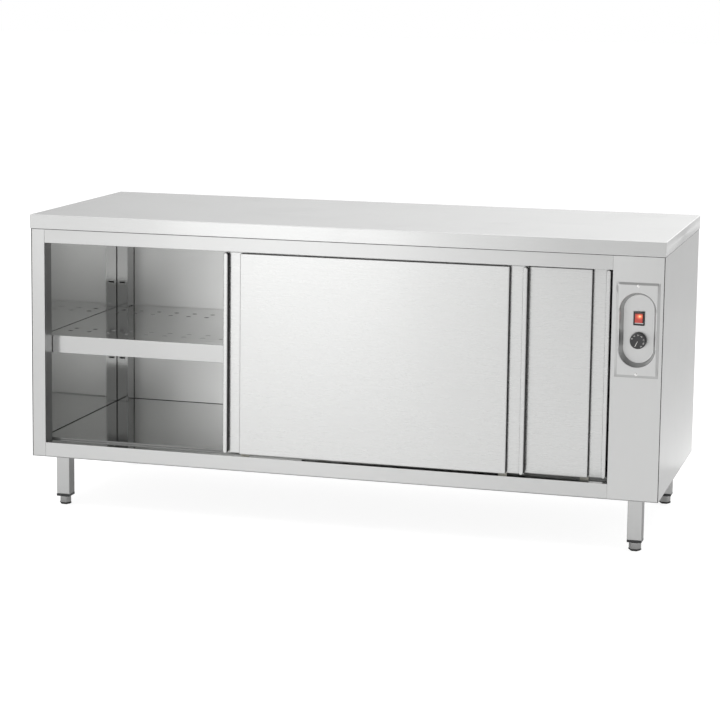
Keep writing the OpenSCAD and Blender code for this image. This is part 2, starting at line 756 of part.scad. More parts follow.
// Tube closed at its top by a plate with a stud into the body
module leg(sx, row) translate([sx * leg_x, leg_y[row], 0]) {
  half = leg_w / 2;
  difference() {
    block([-half, -half, leg_end_z], [half, half, body_z]);
    block([-half + sheet, -half + sheet, leg_end_z - 1], [half - sheet, half - sheet, body_z - 3]);
  }
  translate([0, 0, body_z]) cylinder(r = stud_r, h = sheet + stud_h);
  translate([0, 0, frame_z]) cylinder(r = 9.8, h = stud_h - 2, $fn = 6);
}

module front_left_leg() color("silver") leg(-1, 0);
module front_right_leg() color("silver") leg(1, 0);
module rear_left_leg() color("silver") leg(-1, 1);
module rear_right_leg() color("silver") leg(1, 1);

// Plastic plugs in the leg ends, with a threaded hole for the foot
module leg_caps() color("black") for (x = [-leg_x, leg_x], y = leg_y)
  translate([x, y, leg_end_z]) difference() {
    half = leg_w / 2;
    inner = half - sheet - fit;
    union() {
      block([-half, -half, -cap_t], [half, half, 0]);
      block([-inner, -inner, 0], [inner, inner, 25]);
    }
    translate([0, 0, -cap_t - 1]) cylinder(r = spindle_r + running, h = cap_t + 40);
  }

// Hexagonal levelling foot on a rubber base, with its threaded spindle
module foot(sx, row) translate([sx * leg_x, leg_y[row], 0]) {
  hex_r = 18;
  top = leg_end_z - cap_t - air;
  cylinder(r1 = hex_r - 4, r2 = hex_r, h = 3, $fn = 6);
  translate([0, 0, 3]) cylinder(r = hex_r, h = 3, $fn = 6);
  translate([0, 0, 6]) cylinder(r = hex_r - 1, h = top - 9, $fn = 6);
  translate([0, 0, top - 3]) cylinder(r1 = hex_r - 1, r2 = hex_r - 3, h = 3, $fn = 6);
  translate([0, 0, top - 1]) cylinder(r = spindle_r, h = 60);
}

module front_left_foot() color("dimgray") foot(-1, 0);
module front_right_foot() color("dimgray") foot(1, 0);
module rear_left_foot() color("dimgray") foot(-1, 1);
module rear_right_foot() color("dimgray") foot(1, 1);

worktop();
worktop_core();
ceiling_panel();
left_outer_panel();
left_liner();
right_cover();
column_partition();
back_outer_panel();
back_liner();
floor_liner();
base_panel();
insulation_mats();
top_rail();
bottom_rail();
left_stile();
control_stile();
rear_left_upright();
rear_right_upright();
shelf();
shelf_brackets();
top_track();
bottom_track();
control_plate();
control_screws();
switch_housing();
rocker();
thermostat();
knob();
safety_cutout();
terminal_block();
fan_chamber();
fan_motor();
fan_impeller();
heating_element();
cable_gland();
wiring_loom();
front_left_leg();
front_right_leg();
rear_left_leg();
rear_right_leg();
leg_caps();
front_left_foot();
front_right_foot();
rear_left_foot();
rear_right_foot();
front_door_skin();
front_door_core();
front_door_back();
front_door_hangers();
front_door_guides();
front_left_roller();
front_right_roller();
rear_door_skin();
rear_door_core();
rear_door_back();
rear_door_hangers();
rear_door_guides();
rear_left_roller();
rear_right_roller();
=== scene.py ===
"""Looks of the heated plate cabinet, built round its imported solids.

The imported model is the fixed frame: every length is in metres, the origin is on the
floor under the middle of the cabinet, +X is to the right, +Y to the back, +Z up.
"""
import json
import math

import bmesh
import bpy
from bpy.props import FloatProperty, FloatVectorProperty, IntProperty, PointerProperty
from mathutils import Matrix, Vector

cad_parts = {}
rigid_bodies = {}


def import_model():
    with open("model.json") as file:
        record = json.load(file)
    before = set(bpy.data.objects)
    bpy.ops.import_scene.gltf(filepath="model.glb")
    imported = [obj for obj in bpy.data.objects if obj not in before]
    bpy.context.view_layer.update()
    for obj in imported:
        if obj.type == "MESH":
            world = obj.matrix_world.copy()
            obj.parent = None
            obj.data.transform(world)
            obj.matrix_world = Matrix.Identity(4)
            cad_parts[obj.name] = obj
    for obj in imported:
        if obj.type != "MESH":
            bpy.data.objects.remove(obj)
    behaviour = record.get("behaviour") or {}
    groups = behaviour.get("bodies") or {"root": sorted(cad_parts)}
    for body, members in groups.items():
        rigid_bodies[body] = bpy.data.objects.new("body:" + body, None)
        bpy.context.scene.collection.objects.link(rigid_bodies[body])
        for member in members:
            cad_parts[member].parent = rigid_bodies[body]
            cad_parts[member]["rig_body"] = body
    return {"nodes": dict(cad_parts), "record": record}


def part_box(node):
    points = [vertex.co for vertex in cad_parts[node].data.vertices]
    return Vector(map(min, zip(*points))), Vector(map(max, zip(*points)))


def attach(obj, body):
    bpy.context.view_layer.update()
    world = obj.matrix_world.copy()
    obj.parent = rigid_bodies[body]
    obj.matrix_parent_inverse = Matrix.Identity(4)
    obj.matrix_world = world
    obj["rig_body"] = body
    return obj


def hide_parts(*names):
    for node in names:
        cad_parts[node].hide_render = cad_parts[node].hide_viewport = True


bl_info = {
    "name": "Heated Plate Cabinet",
    "version": (1, 0, 0),
    "blender": (4, 5, 0),
    "location": "3D View > Sidebar > Plate Cabinet",
    "description": "Folded sheets, doors, controls, feet and finishes of a heated plate cabinet",
    "category": "Object",
}

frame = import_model()
NODES = frame["nodes"]
SLOTS = {part["node"]: part["material_slot"] for part in frame["record"]["subparts"]}
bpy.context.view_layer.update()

# Sheet of the worktop, and how far its underside is folded in
TOP_SHEET = 0.0015
TOP_RETURN = 0.023

# Forms of a door's front: depth of its relief, sheet, channel zone, lip and panel edge
DOOR_RELIEF = 0.018
DOOR_SHEET = 0.0012
GRIP_ZONE = 0.0485
LIP_WIDTH = 0.012
LIP_RADIUS = 0.0025
PANEL_RADIUS = 0.003

CORNERS = ("front_left", "front_right", "rear_left", "rear_right")


# ---- settings ---------------------------------------------------------------

def color_setting(name, text, default):
    return FloatVectorProperty(name=name, description=text, subtype="COLOR", size=3, min=0, max=1,
                               default=default)


def share_setting(name, text, default, most=1.0):
    return FloatProperty(name=name, description=text, subtype="FACTOR", min=0, max=most,
                         default=default)


def length_setting(name, text, least, most, default):
    return FloatProperty(name=name, description=text, subtype="DISTANCE", unit="LENGTH",
                         min=least, max=most, default=default)


def angle_setting(name, text, degrees):
    return FloatProperty(name=name, description=text, subtype="ANGLE", unit="ROTATION",
                         default=math.radians(degrees))


class SteelFinish(bpy.types.PropertyGroup):
    satin_tint: color_setting("Satin steel", "Colour of the ground sheets", (0.545, 0.547, 0.543))
    door_tint: color_setting("Door steel", "Colour of the door fronts", (0.585, 0.587, 0.582))
    lining_tint: color_setting("Lining steel", "Colour that the lining's sheets share",
                               (0.36, 0.362, 0.358))
    satin_roughness: share_setting("Satin roughness", "Roughness of the ground sheets", 0.3)
    lining_roughness: share_setting("Lining roughness", "Roughness of the bright lining", 0.18)
    fold_radius: length_setting("Fold radius", "Outer radius of a folded edge", 0.0002, 0.003,
                                0.0013)
    leg_radius: length_setting("Leg radius", "Corner radius of the leg tube", 0.0005, 0.005,
                               0.0026)


class ControlLooks(bpy.types.PropertyGroup):
    border_slope: length_setting("Border slope", "Width of the control plate's sloping border",
                                 0.002, 0.01, 0.007)
    dish_mouth_radius: length_setting("Mouth radius", "Radius of the pressed edge of the dish",
                                      0.0005, 0.004, 0.002)
    glow_centre: color_setting("Glow centre", "Colour of the lamp behind the rocker",
                               (1.0, 0.78, 0.42))
    glow_edge: color_setting("Glow edge", "Colour of the lit plastic away from the lamp",
                             (0.26, 0.045, 0.035))
    number_first: IntProperty(name="First number", description="Lowest temperature on the knob",
                              min=0, max=100, default=30)
    number_step: IntProperty(name="Number step", description="From one number to the next",
                             min=1, max=50, default=10)
    number_count: IntProperty(name="Numbers", description="How many numbers the knob carries",
                              min=0, max=10, default=7)
    number_angle: angle_setting("First angle", "Clockwise from the top to the first number", -67.5)
    number_spacing: angle_setting("Spacing", "From one number to the next", 35.2)
    pointer_angle: angle_setting("Zero line", "Clockwise from the top to the zero line", 205)


class StudioSetup(bpy.types.PropertyGroup):
    camera_place: FloatVectorProperty(
        name="Camera place", description="Where the camera stands", subtype="TRANSLATION",
        unit="LENGTH", size=3, default=(1.7025, -6.2534, 1.5625))
    camera_turn: FloatVectorProperty(
        name="Camera turn", description="Turn to the left, tilt down and roll of the camera",
        subtype="EULER", unit="ROTATION", size=3, default=(0.2896, 0.1403, 0.0098))
    camera_lens: FloatProperty(
        name="Lens", description="Focal length in millimetres on a 36 mm wide sensor",
        min=20, max=300, default=113.72)
    camera_shift: FloatVectorProperty(
        name="Lens shift", description="Shift of the frame in widths of the picture",
        size=2, default=(0.0630, -0.1055))
    floor_glow: share_setting("Floor glow", "How far the floor is lit up to white", 0.84)
    floor_lift: share_setting("Floor lift", "Even share of the light that comes off the floor",
                              0.36)
    fill_level: share_setting("Fill level", "Even light round the horizon", 1.0, 1.5)
    fill_above: share_setting("Fill above", "Share of it that comes from high up", 0.6)
    fill_behind: share_setting("Fill behind", "What the light from behind has more", 0.9)
    fill_ahead: share_setting("Fill ahead", "What the light from ahead on the right has less",
                              0.55)


# ---- shader helpers ---------------------------------------------------------

class Net:
    """Adds shader nodes to one tree and links what is handed to them."""

    def __init__(self, tree):
        self.tree = tree

    def add(self, kind, inputs=None, **settings):
        node = self.tree.nodes.new("ShaderNode" + kind)
        for name, value in settings.items():
            setattr(node, name, value)
        for key, value in (inputs or {}).items():
            self.plug(node.inputs[key], value)
        return node

    def plug(self, socket, value):
        if isinstance(value, bpy.types.NodeSocket):
            self.tree.links.new(value, socket)
        else:
            socket.default_value = value

    def math(self, operation, a, b=0.0, clamp=False):
        return self.add("Math", {0: a, 1: b}, operation=operation, use_clamp=clamp).outputs[0]

    def span(self, value, low, high, to_low=0.0, to_high=1.0):
        node = self.add("MapRange", {"Value": value, "From Min": low, "From Max": high,
                                     "To Min": to_low, "To Max": to_high})
        node.clamp = True
        return node.outputs[0]

    def blend(self, factor, a, b):
        node = self.add("Mix", data_type="RGBA")
        for key, value in ((0, factor), (6, a), (7, b)):
            self.plug(node.inputs[key], value)
        return node.outputs[2]

    def vector(self, operation, a, b):
        return self.add("VectorMath", {0: a, 1: b}, operation=operation).outputs[0]

    def noise(self, vector, scale, detail=3.0, roughness=0.55):
        return self.add("TexNoise", {"Vector": vector, "Scale": scale, "Detail": detail,
                                     "Roughness": roughness}).outputs[0]

    def bump(self, height, distance, strength=1.0, normal=None):
        more = {} if normal is None else {"Normal": normal}
        return self.add("Bump", {"Strength": strength, "Distance": distance, "Height": height,
                                 **more}).outputs[0]

    def ramp(self, value, *stops):
        node = self.add("ValToRGB", {0: value})
        band = node.color_ramp.elements
        for i, (position, color) in enumerate(stops):
            stop = band[i] if i < 2 else band.new(position)
            stop.position, stop.color = position, color
        return node.outputs[0]

    def tangent(self, along):
        return self.add("Tangent", direction_type="RADIAL", axis=along).outputs[0]

    def worn(self, tone, mark, roughness, spread, wear):
        """Roughness that follows a grain, and rises where hands marked the surface."""
        return self.math("ADD", self.span(tone, 0, 1, roughness - spread, roughness + spread),
                         self.math("MULTIPLY", mark, wear))


def effect(name, inputs, outputs, build):
    """A shader node group with named inputs and outputs, built once."""
    tree = bpy.data.node_groups.get(name)
    if tree:
        return tree
    tree = bpy.data.node_groups.new(name, "ShaderNodeTree")
    for label, kind, value in inputs:
        socket = tree.interface.new_socket(label, in_out="INPUT", socket_type=kind)
        if value is not None:
            socket.default_value = value
    for label, kind in outputs:
        tree.interface.new_socket(label, in_out="OUTPUT", socket_type=kind)
    net = Net(tree)
    source = tree.nodes.new("NodeGroupInput")
    sink = tree.nodes.new("NodeGroupOutput")
    for label, value in build(net, source.outputs).items():
        tree.links.new(value, sink.inputs[label])
    return tree


VECTOR, FLOAT, COLOR = "NodeSocketVector", "NodeSocketFloat", "NodeSocketColor"


def brushed_grain():
    """Long fine scratches of a ground sheet: a broad and a narrow set of streaks."""
    def build(net, given):
        placed = net.vector("MULTIPLY", given["Vector"], given["Stretch"])
        fine = net.noise(placed, 1.0, 4.0, 0.6)
        broad = net.noise(net.vector("MULTIPLY", placed, (0.22, 0.22, 0.22)), 1.0, 2.0, 0.5)
        tone = net.math("ADD", net.math("MULTIPLY", fine, 0.6), net.math("MULTIPLY", broad, 0.4))
        return {"Tone": net.span(tone, 0.3, 0.7), "Height": fine}
    return effect("Brushed Grain", [("Vector", VECTOR, None), ("Stretch", VECTOR, (4, 240, 240))],
                  [("Tone", FLOAT), ("Height", FLOAT)], build)


def sheet_waves():
    """Slow waves of a thin sheet between its folds."""
    def build(net, given):
        placed = net.vector("MULTIPLY", given["Vector"], given["Stretch"])
        return {"Height": net.noise(placed, 1.0, 1.0, 0.4)}
    return effect("Sheet Waves", [("Vector", VECTOR, None), ("Stretch", VECTOR, (3, 3, 2))],
                  [("Height", FLOAT)], build)


def handling_marks():
    """Faint clouds and wiped arcs that hands and cloths leave on steel."""
    def build(net, given):
        cloud = net.noise(given["Vector"], 5.0, 4.0, 0.6)
        wipe = net.noise(net.vector("MULTIPLY", given["Vector"], (9, 9, 26)), 1.0, 3.0, 0.7)
        both = net.math("MULTIPLY", net.span(cloud, 0.45, 0.72), net.span(wipe, 0.35, 0.75))
        return {"Mask": net.math("MULTIPLY", both, given["Amount"], True)}
    return effect("Handling Marks", [("Vector", VECTOR, None), ("Amount", FLOAT, 0.5)],
                  [("Mask", FLOAT)], build)


def fine_speckle():
    """Fine orange peel of moulded plastic, cast metal or rubber."""
    def build(net, given):
        grain = net.noise(given["Vector"], given["Scale"], 3.0, 0.6)
        cell = net.add("TexVoronoi", {"Vector": given["Vector"], "Scale": given["Scale"]},
                       feature="F1").outputs["Distance"]
        return {"Tone": net.span(grain, 0.3, 0.7),
                "Height": net.math("ADD", grain, net.math("MULTIPLY", cell, 0.5))}
    return effect("Fine Speckle", [("Vector", VECTOR, None), ("Scale", FLOAT, 900.0)],
                  [("Tone", FLOAT), ("Height", FLOAT)], build)


def place(net, group, **values):
    """Puts an effect group in a material, with this material's own values."""
    node = net.tree.nodes.new("ShaderNodeGroup")
    node.node_tree = group
    for name, value in values.items():
        net.plug(node.inputs[name], value)
    return node.outputs


def hand_marks(net, here, amount):
    return place(net, handling_marks(), Vector=here, Amount=amount)["Mask"]


def shade(color, factor):
    return (color[0] * factor, color[1] * factor, color[2] * factor, 1.0)


def material(name, build, **sockets):
    """A material with one Principled shader: plain sockets by name, then what build links."""
    found = bpy.data.materials.get(name)
    if found:
        return found
    made = bpy.data.materials.new(name)
    made.use_nodes = True
    shader = made.node_tree.nodes["Principled BSDF"]
    for label, value in sockets.items():
        shader.inputs[label.replace("_", " ")].default_value = value
    net = Net(made.node_tree)
    here = net.add("TexCoord").outputs["Object"]
    for label, value in build(net, here).items():
        net.plug(shader.inputs[label], value)
    return made


EDGE_TINT = (0.85, 0.85, 0.85, 1.0)


def ground_steel(name, tint, roughness, along="X", stretch=1500.0, aniso=0.75, contrast=0.012,
                 marks=0.25, waves=0.001):
    """Steel sheet ground along one axis."""
    scale = tuple(stretch / 50 if axis == along else stretch for axis in "XYZ")
    scratch_depth = 0.00001

    def build(net, here):
        grain = place(net, brushed_grain(), Vector=here, Stretch=scale)
        mark = hand_marks(net, here, marks)
        wave = place(net, sheet_waves(), Vector=here, Stretch=(3, 3, 2))["Height"]
        color = net.blend(grain["Tone"], shade(tint, 1 - contrast), shade(tint, 1 + contrast))
        return {"Base Color": net.blend(mark, color, shade(tint, 0.94)),
                "Roughness": net.worn(grain["Tone"], mark, roughness, 0.03, 0.1),
                "Normal": net.bump(grain["Height"], scratch_depth, 0.6, net.bump(wave, waves)),
                "Tangent": net.tangent(along)}
    return material(name, build, Metallic=1.0, Specular_Tint=EDGE_TINT, Anisotropic=aniso)


def bright_steel(name, tint, roughness, along="Z", aniso=0.6):
    """Bright-rolled lining steel: a mirror along its grain, with soft waves and dull patches."""
    scale = tuple(18 if axis == along else 900 for axis in "XYZ")

    def build(net, here):
        wave = place(net, sheet_waves(), Vector=here, Stretch=(4.5, 4.5, 5.5))["Height"]
        mark = hand_marks(net, here, 0.3)
        tone = place(net, brushed_grain(), Vector=here, Stretch=scale)["Tone"]
        color = net.blend(tone, shade(tint, 0.98), shade(tint, 1.02))
        return {"Base Color": net.blend(mark, color, shade(tint, 0.88)),
                "Roughness": net.worn(tone, mark, roughness, 0.01, 0.06),
                "Normal": net.bump(wave, 0.0006), "Tangent": net.tangent(along)}
    return material(name, build, Metallic=1.0, Specular_Tint=EDGE_TINT, Anisotropic=aniso)


def fold_steel(name, tint):
    """The bend of a folded sheet: polished by the press and by hands."""
    def build(net, here):
        grain = place(net, fine_speckle(), Vector=here, Scale=600.0)
        mark = hand_marks(net, here, 0.6)
        return {"Base Color": net.blend(mark, shade(tint, 1.08), shade(tint, 0.95)),
                "Roughness": net.span(grain["Tone"], 0, 1, 0.2, 0.3)}
    return material(name, build, Metallic=1.0, Specular_Tint=EDGE_TINT)


def moulded_plastic(name, tint, roughness, scale=900.0, depth=0.0003):
    def build(net, here):
        grain = place(net, fine_speckle(), Vector=here, Scale=scale)
        mark = hand_marks(net, here, 0.25)
        color = net.blend(grain["Tone"], shade(tint, 0.88), shade(tint, 1.1))
        scuffed = [min(1, c * 1.25 + 0.01) for c in tint]
        return {"Base Color": net.blend(mark, color, shade(scuffed, 1)),
                "Roughness": net.worn(grain["Tone"], mark, roughness, 0.04, 0.12),
                "Normal": net.bump(grain["Height"], depth, 0.5)}
    return material(name, build)


def lamp_plastic(looks):
    """Clear red rocker with a small lamp behind its upper half."""
    low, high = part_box("rocker")
    middle = (low + high) / 2

    def build(net, here):
        away = net.vector("SUBTRACT", here, (middle.x + 0.0016, middle.y, middle.z + 0.0042))
        flat = net.vector("MULTIPLY", away, (1.0, 0.0, 1.25))
        far = net.add("VectorMath", {0: flat}, operation="LENGTH").outputs["Value"]
        ripple = net.noise(here, 420.0, 2.0, 0.5)
        near = net.math("ADD", net.span(far, 0.0012, 0.0115, 1.0, 0.0),
                        net.span(ripple, 0.3, 0.7, -0.08, 0.08), True)
        spot = net.add("SeparateXYZ", {0: here}).outputs
        lit = net.math("MULTIPLY", net.span(spot["X"], high.x - 0.0008, high.x - 0.003),
                       net.span(spot["Z"], high.z - 0.001, high.z - 0.0042))
        warm = net.ramp(near, (0.0, shade(looks.glow_edge, 1)), (1.0, shade(looks.glow_centre, 1)),
                        (0.35, (0.5, 0.085, 0.05, 1)), (0.68, (0.8, 0.22, 0.09, 1)))
        return {"Base Color": net.blend(lit, (0.02, 0.006, 0.005, 1), (0.3, 0.035, 0.03, 1)),
                "Emission Color": net.blend(lit, (0.004, 0.001, 0.001, 1), warm),
                "Roughness": net.span(ripple, 0.3, 0.7, 0.12, 0.24),
                "Normal": net.bump(ripple, 0.0002, 0.3)}
    return material("lit_rocker_plastic", build, Emission_Strength=0.95)


def white_paint():
    def build(net, here):
        wear = net.noise(here, 1800.0, 2.0, 0.6)
        return {"Base Color": net.blend(net.span(wear, 0.35, 0.7), (0.8, 0.79, 0.76, 1),
                                        (0.62, 0.61, 0.58, 1)),
                "Roughness": net.span(wear, 0.3, 0.7, 0.45, 0.65)}
    return material("knob_marking_paint", build)


def raw_board():
    def build(net, here):
        chips = net.noise(net.vector("MULTIPLY", here, (60, 240, 500)), 1.0, 4.0, 0.65)
        fleck = net.noise(here, 300.0, 2.0, 0.5)
        color = net.blend(net.span(chips, 0.35, 0.7), (0.43, 0.28, 0.15, 1), (0.62, 0.46, 0.28, 1))
        return {"Base Color": net.blend(net.span(fleck, 0.6, 0.75), color, (0.3, 0.18, 0.09, 1)),
                "Roughness": net.span(chips, 0.3, 0.7, 0.75, 0.92),
                "Normal": net.bump(chips, 0.0006, 0.6)}
    return material("raw_board_chips", build)


def matted_wool():
    def build(net, here):
        strands = net.noise(net.vector("MULTIPLY", here, (90, 260, 700)), 1.0, 6.0, 0.75)
        tufts = net.noise(here, 45.0, 4.0, 0.6)
        height = net.math("ADD", strands, net.math("MULTIPLY", tufts, 1.5))
        color = net.blend(net.span(tufts, 0.35, 0.7), (0.5, 0.42, 0.22, 1), (0.72, 0.64, 0.4, 1))
        return {"Base Color": net.blend(net.span(strands, 0.5, 0.75), color, (0.82, 0.76, 0.55, 1)),
                "Roughness": net.span(strands, 0.3, 0.7, 0.85, 1.0),
                "Normal": net.bump(height, 0.004)}
    return material("matted_mineral_wool", build, Sheen_Weight=0.3)


def painted_metal(name, tint):
    def build(net, here):
        peel = place(net, fine_speckle(), Vector=here, Scale=500.0)
        mark = hand_marks(net, here, 0.6)
        return {"Base Color": net.blend(mark, shade(tint, 1.0), shade(tint, 1.6)),
                "Roughness": net.span(peel["Tone"], 0, 1, 0.4, 0.53),
                "Normal": net.bump(peel["Height"], 0.0003, 0.4)}
    return material(name, build)


def heat_tinted_steel():
    def build(net, here):
        grain = place(net, brushed_grain(), Vector=here, Stretch=(400, 30, 30))
        return {"Base Color": net.ramp(net.noise(here, 22.0, 3.0, 0.5), (0.3, (0.34, 0.2, 0.1, 1)),
                                       (0.7, (0.16, 0.14, 0.2, 1)), (0.5, (0.42, 0.3, 0.14, 1))),
                "Roughness": net.span(grain["Tone"], 0, 1, 0.35, 0.5)}
    return material("heat_tinted_tube", build, Metallic=1.0)


def finishes(context):
    """Every finish of the cabinet by a short name."""
    steel = context.scene.plate_cabinet_steel
    satin, door, lining = steel.satin_tint, steel.door_tint, steel.lining_tint
    rough, bright = steel.satin_roughness, steel.lining_roughness
    return {
        "satin_x": ground_steel("satin_steel_lengthwise", satin, rough),
        "satin_z": ground_steel("satin_steel_upright", satin, rough, "Z"),
        "top": ground_steel("worktop_steel", satin, rough - 0.06, marks=0.4),
        "door_steel": ground_steel("door_front_steel", door, rough - 0.02),
        "plate_steel": ground_steel("control_plate_steel", satin, rough, "Z", marks=0.2,
                                    waves=0.0003),
        # Darker copy of the plate steel: painted shade on the control plate's sloping border
        "slope_painted_shade": ground_steel("plate_slope_painted_shade", shade(satin, 0.75), rough, "Z",
                                    waves=0.0003),
        "leg_front": ground_steel("leg_front_steel", shade(satin, 0.9), rough, "Z"),
        # Darker copy of the leg steel: painted shade on the right-facing sides of the legs
        "leg_side_painted_shade": ground_steel("leg_side_painted_shade_steel", shade(satin, 0.54), rough, "Z"),
        "shelf_steel": ground_steel("shelf_steel_lengthwise", shade(satin, 0.9), rough - 0.06,
                                    waves=0.002),
        "shelf_top": bright_steel("shelf_bright_steel", shade(lining, 2.3), bright * 0.5, "X", 0.2),
        "side_lining": bright_steel("side_lining_steel", shade(lining, 2.6), bright * 0.5,
                                    aniso=0.2),
        "back_lining": ground_steel("back_lining_steel", shade(lining, 2.05), 0.38, "Z",
                                    aniso=0.0, contrast=0.01),
        "upright_steel": bright_steel("upright_side_steel", shade(lining, 1.4), bright),
        # Darker copy of the lining steel: painted dark reflection on the front faces of the
        # uprights
        "upright_front_painted_shade": bright_steel("upright_front_painted_shade_steel", lining, bright * 0.6),
        # Darker copy of the lining steel: painted shade on the floor liner's front edge, the walls
        # of the shelf's holes and the bottom track's folds
        "sill_painted_shade": ground_steel("sill_painted_shade", shade(lining, 0.6), 0.3),
        # Near-black copy of the steel: painted shade on the right-facing walls of the door channels
        # and the door backs
        "channel_painted_shade": ground_steel("channel_wall_painted_shade", (0.025, 0.025, 0.026), 0.4, "Z"),
        "track_steel": ground_steel("track_steel_worn", (0.3, 0.3, 0.3), 0.42, contrast=0.12,
                                    marks=0.9),
        "fold": fold_steel("folded_edge_steel", satin),
        "screw_steel": fold_steel("screw_head_steel", (0.66, 0.66, 0.65)),
        "foot_steel": ground_steel("turned_foot_steel", (0.3, 0.3, 0.297), 0.24, "Z", 700.0,
                                   marks=0.5, waves=0.0002),
        "black_plastic": moulded_plastic("black_cap_plastic", (0.018, 0.018, 0.019), 0.42),
        "switch_black": moulded_plastic("switch_frame_plastic", (0.012, 0.012, 0.013), 0.3),
        "knob_black": moulded_plastic("knob_plastic", (0.03, 0.03, 0.032), 0.38, 1400.0),
        "rubber": moulded_plastic("foot_rubber", (0.014, 0.014, 0.014), 0.7, 700.0, 0.0008),
        "ivory_plastic": moulded_plastic("ivory_terminal_plastic", (0.7, 0.65, 0.52), 0.5),
        "nylon": moulded_plastic("nylon_roller_plastic", (0.72, 0.7, 0.62), 0.4),
        "wire_insulation": moulded_plastic("silicone_insulation", (0.06, 0.06, 0.065), 0.55),
        "dark_metal": painted_metal("dark_painted_metal", (0.045, 0.045, 0.05)),
        "heater_steel": heat_tinted_steel(),
        "core_board": raw_board(),
        "mineral_wool": matted_wool(),
        "rocker_red": lamp_plastic(context.scene.plate_cabinet_controls),
        "paint": white_paint(),
    }


# ---- mesh helpers -----------------------------------------------------------

def dress(finish, *nodes):
    """Gives CAD nodes a finish in the slots they have."""
    for name in nodes:
        for slot in NODES[name].material_slots:
            slot.material = finish


def settle(piece, body, slot, *replaced):
    """Rides a finished piece on its body, and hides what it stands for."""
    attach(piece, body)
    if replaced:
        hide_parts(*replaced)
    return piece


def piece_from(name, bm, *materials):
    mesh = bpy.data.meshes.new(name)
    bm.to_mesh(mesh)
    bm.free()
    for finish in materials:
        mesh.materials.append(finish)
    piece = bpy.data.objects.new(name, mesh)
    bpy.context.scene.collection.objects.link(piece)
    return piece


def mark_folds(bm, radius, angle):
    """Weights the outward edges that a fold rounds, less where a face is too narrow."""
    weight = bm.edges.layers.float.get("bevel_weight_edge") or \
        bm.edges.layers.float.new("bevel_weight_edge")
    room = {f: f.calc_area() / max(e.calc_length() for e in f.edges) for f in bm.faces}
    for edge in bm.edges:
        if len(edge.link_faces) != 2 or not edge.is_convex:
            continue
        if edge.calc_face_angle(0.0) < angle:
            continue
        width = min(radius, 0.42 * min(room[f] for f in edge.link_faces))
        edge[weight] = width / radius


def apply_modifiers(piece):
    """Makes the piece's evaluated mesh its own."""
    graph = bpy.context.evaluated_depsgraph_get()
    made = bpy.data.meshes.new_from_object(piece.evaluated_get(graph),
                                           preserve_all_data_layers=True, depsgraph=graph)
    old, name = piece.data, piece.data.name
    piece.modifiers.clear()
    piece.data = made
    bpy.data.meshes.remove(old)
    made.name = name


def keep_flats(piece, sharp=40, weight=80):
    """Shades roundings smoothly and the flats between them flat."""
    for polygon in piece.data.polygons:
        polygon.use_smooth = True
    weighted = piece.modifiers.new("Flats", "WEIGHTED_NORMAL")
    weighted.keep_sharp = True
    weighted.weight = weight
    apply_modifiers(piece)
    piece.data.set_sharp_from_angle(angle=math.radians(sharp))


def finish_edges(piece, radius, segments=3):
    """Rounds the weighted edges and keeps the flats flat."""
    bevel = piece.modifiers.new("Folds", "BEVEL")
    bevel.limit_method = "WEIGHT"
    bevel.offset_type = "OFFSET"
    bevel.width = radius
    bevel.segments = segments
    bevel.use_clamp_overlap = False
    bevel.miter_outer = "MITER_ARC"
    if len(piece.data.materials) > 1:
        bevel.material = 1
    split = piece.modifiers.new("Corners", "TRIANGULATE")
    split.min_vertices = 5
    keep_flats(piece)


def thicken(piece, sheet):
    """Gives a surface the thickness of its sheet, inward."""
    thick = piece.modifiers.new("Sheet", "SOLIDIFY")
    thick.thickness = sheet
    thick.offset = -1


def rounded_copy(node, radius, *materials, segments=3, angle=25):
    """A copy of a CAD node with its outward edges rounded, standing for the node."""
    bm = bmesh.new()
    bm.from_mesh(NODES[node].data)
    bmesh.ops.remove_doubles(bm, verts=bm.verts, dist=1e-5)
    bmesh.ops.dissolve_limit(bm, angle_limit=math.radians(0.4), verts=bm.verts, edges=bm.edges)
    for face in bm.faces:
        face.material_index = 0
    bm.normal_update()
    mark_folds(bm, radius, math.radians(angle))
    piece = piece_from(node + "_formed", bm, *materials)
    finish_edges(piece, radius, segments)
    return settle(piece, NODES[node]["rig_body"], SLOTS[node], node)


def rings_to_mesh(bm, rings, close_first=False, close_last=False):
    """Skins closed rings of equally many points, in order."""
    rows = [[bm.verts.new(p) for p in ring] for ring in rings]
    count = len(rows[0])
    for low, high in zip(rows, rows[1:]):
        for i in range(count):
            j = (i + 1) % count
            bm.faces.new((low[i], low[j], high[j], high[i]))
    if close_first:
        bm.faces.new(list(reversed(rows[0])))
    if close_last:
        bm.faces.new(rows[-1])
    return rows


def box_shell(bm, low, high):
    """A closed box between two corners; gives its edges."""
    corners = bmesh.ops.create_cube(bm, size=1.0)["verts"]
    for vertex in corners:
        vertex.co = Vector(a * b for a, b in zip(vertex.co, high - low)) + (low + high) / 2
    return {edge for vertex in corners for edge in vertex.link_edges}


def bead(bm, corner, opposite, radius):
    """A box between two opposite corners, with its edges rounded."""
    low, high = (Vector(map(pick, corner, opposite)) for pick in (min, max))
    bmesh.ops.bevel(bm, geom=list(box_shell(bm, low, high)), offset=radius, segments=2,
                    profile=0.5, affect="EDGES")


def recolour(piece, chosen):
    """Gives a piece's chosen faces its last finish."""
    last = len(piece.data.materials) - 1
    for polygon in piece.data.polygons:
        if chosen(polygon):
            polygon.material_index = last
    return piece


def turned(bm, profile, sides, to_frame):
    """Turns a profile of (radius, height) about local Z and places it with to_frame."""
    turns = [2 * math.pi * i / sides for i in range(sides)]
    rings = [[to_frame @ Vector((radius * math.cos(a), radius * math.sin(a), height))
              for a in turns] for radius, height in profile]
    rings_to_mesh(bm, rings, close_first=True, close_last=True)


def facing_front(x, y, z):
    """Local Z comes out of the front of the cabinet, local Y stays up."""
    return Matrix.Translation((x, y, z)) @ Matrix.Rotation(math.pi / 2, 4, "X")


def smooth_all(piece, sharp=35):
    for polygon in piece.data.polygons:
        polygon.use_smooth = True
    piece.data.set_sharp_from_angle(angle=math.radians(sharp))


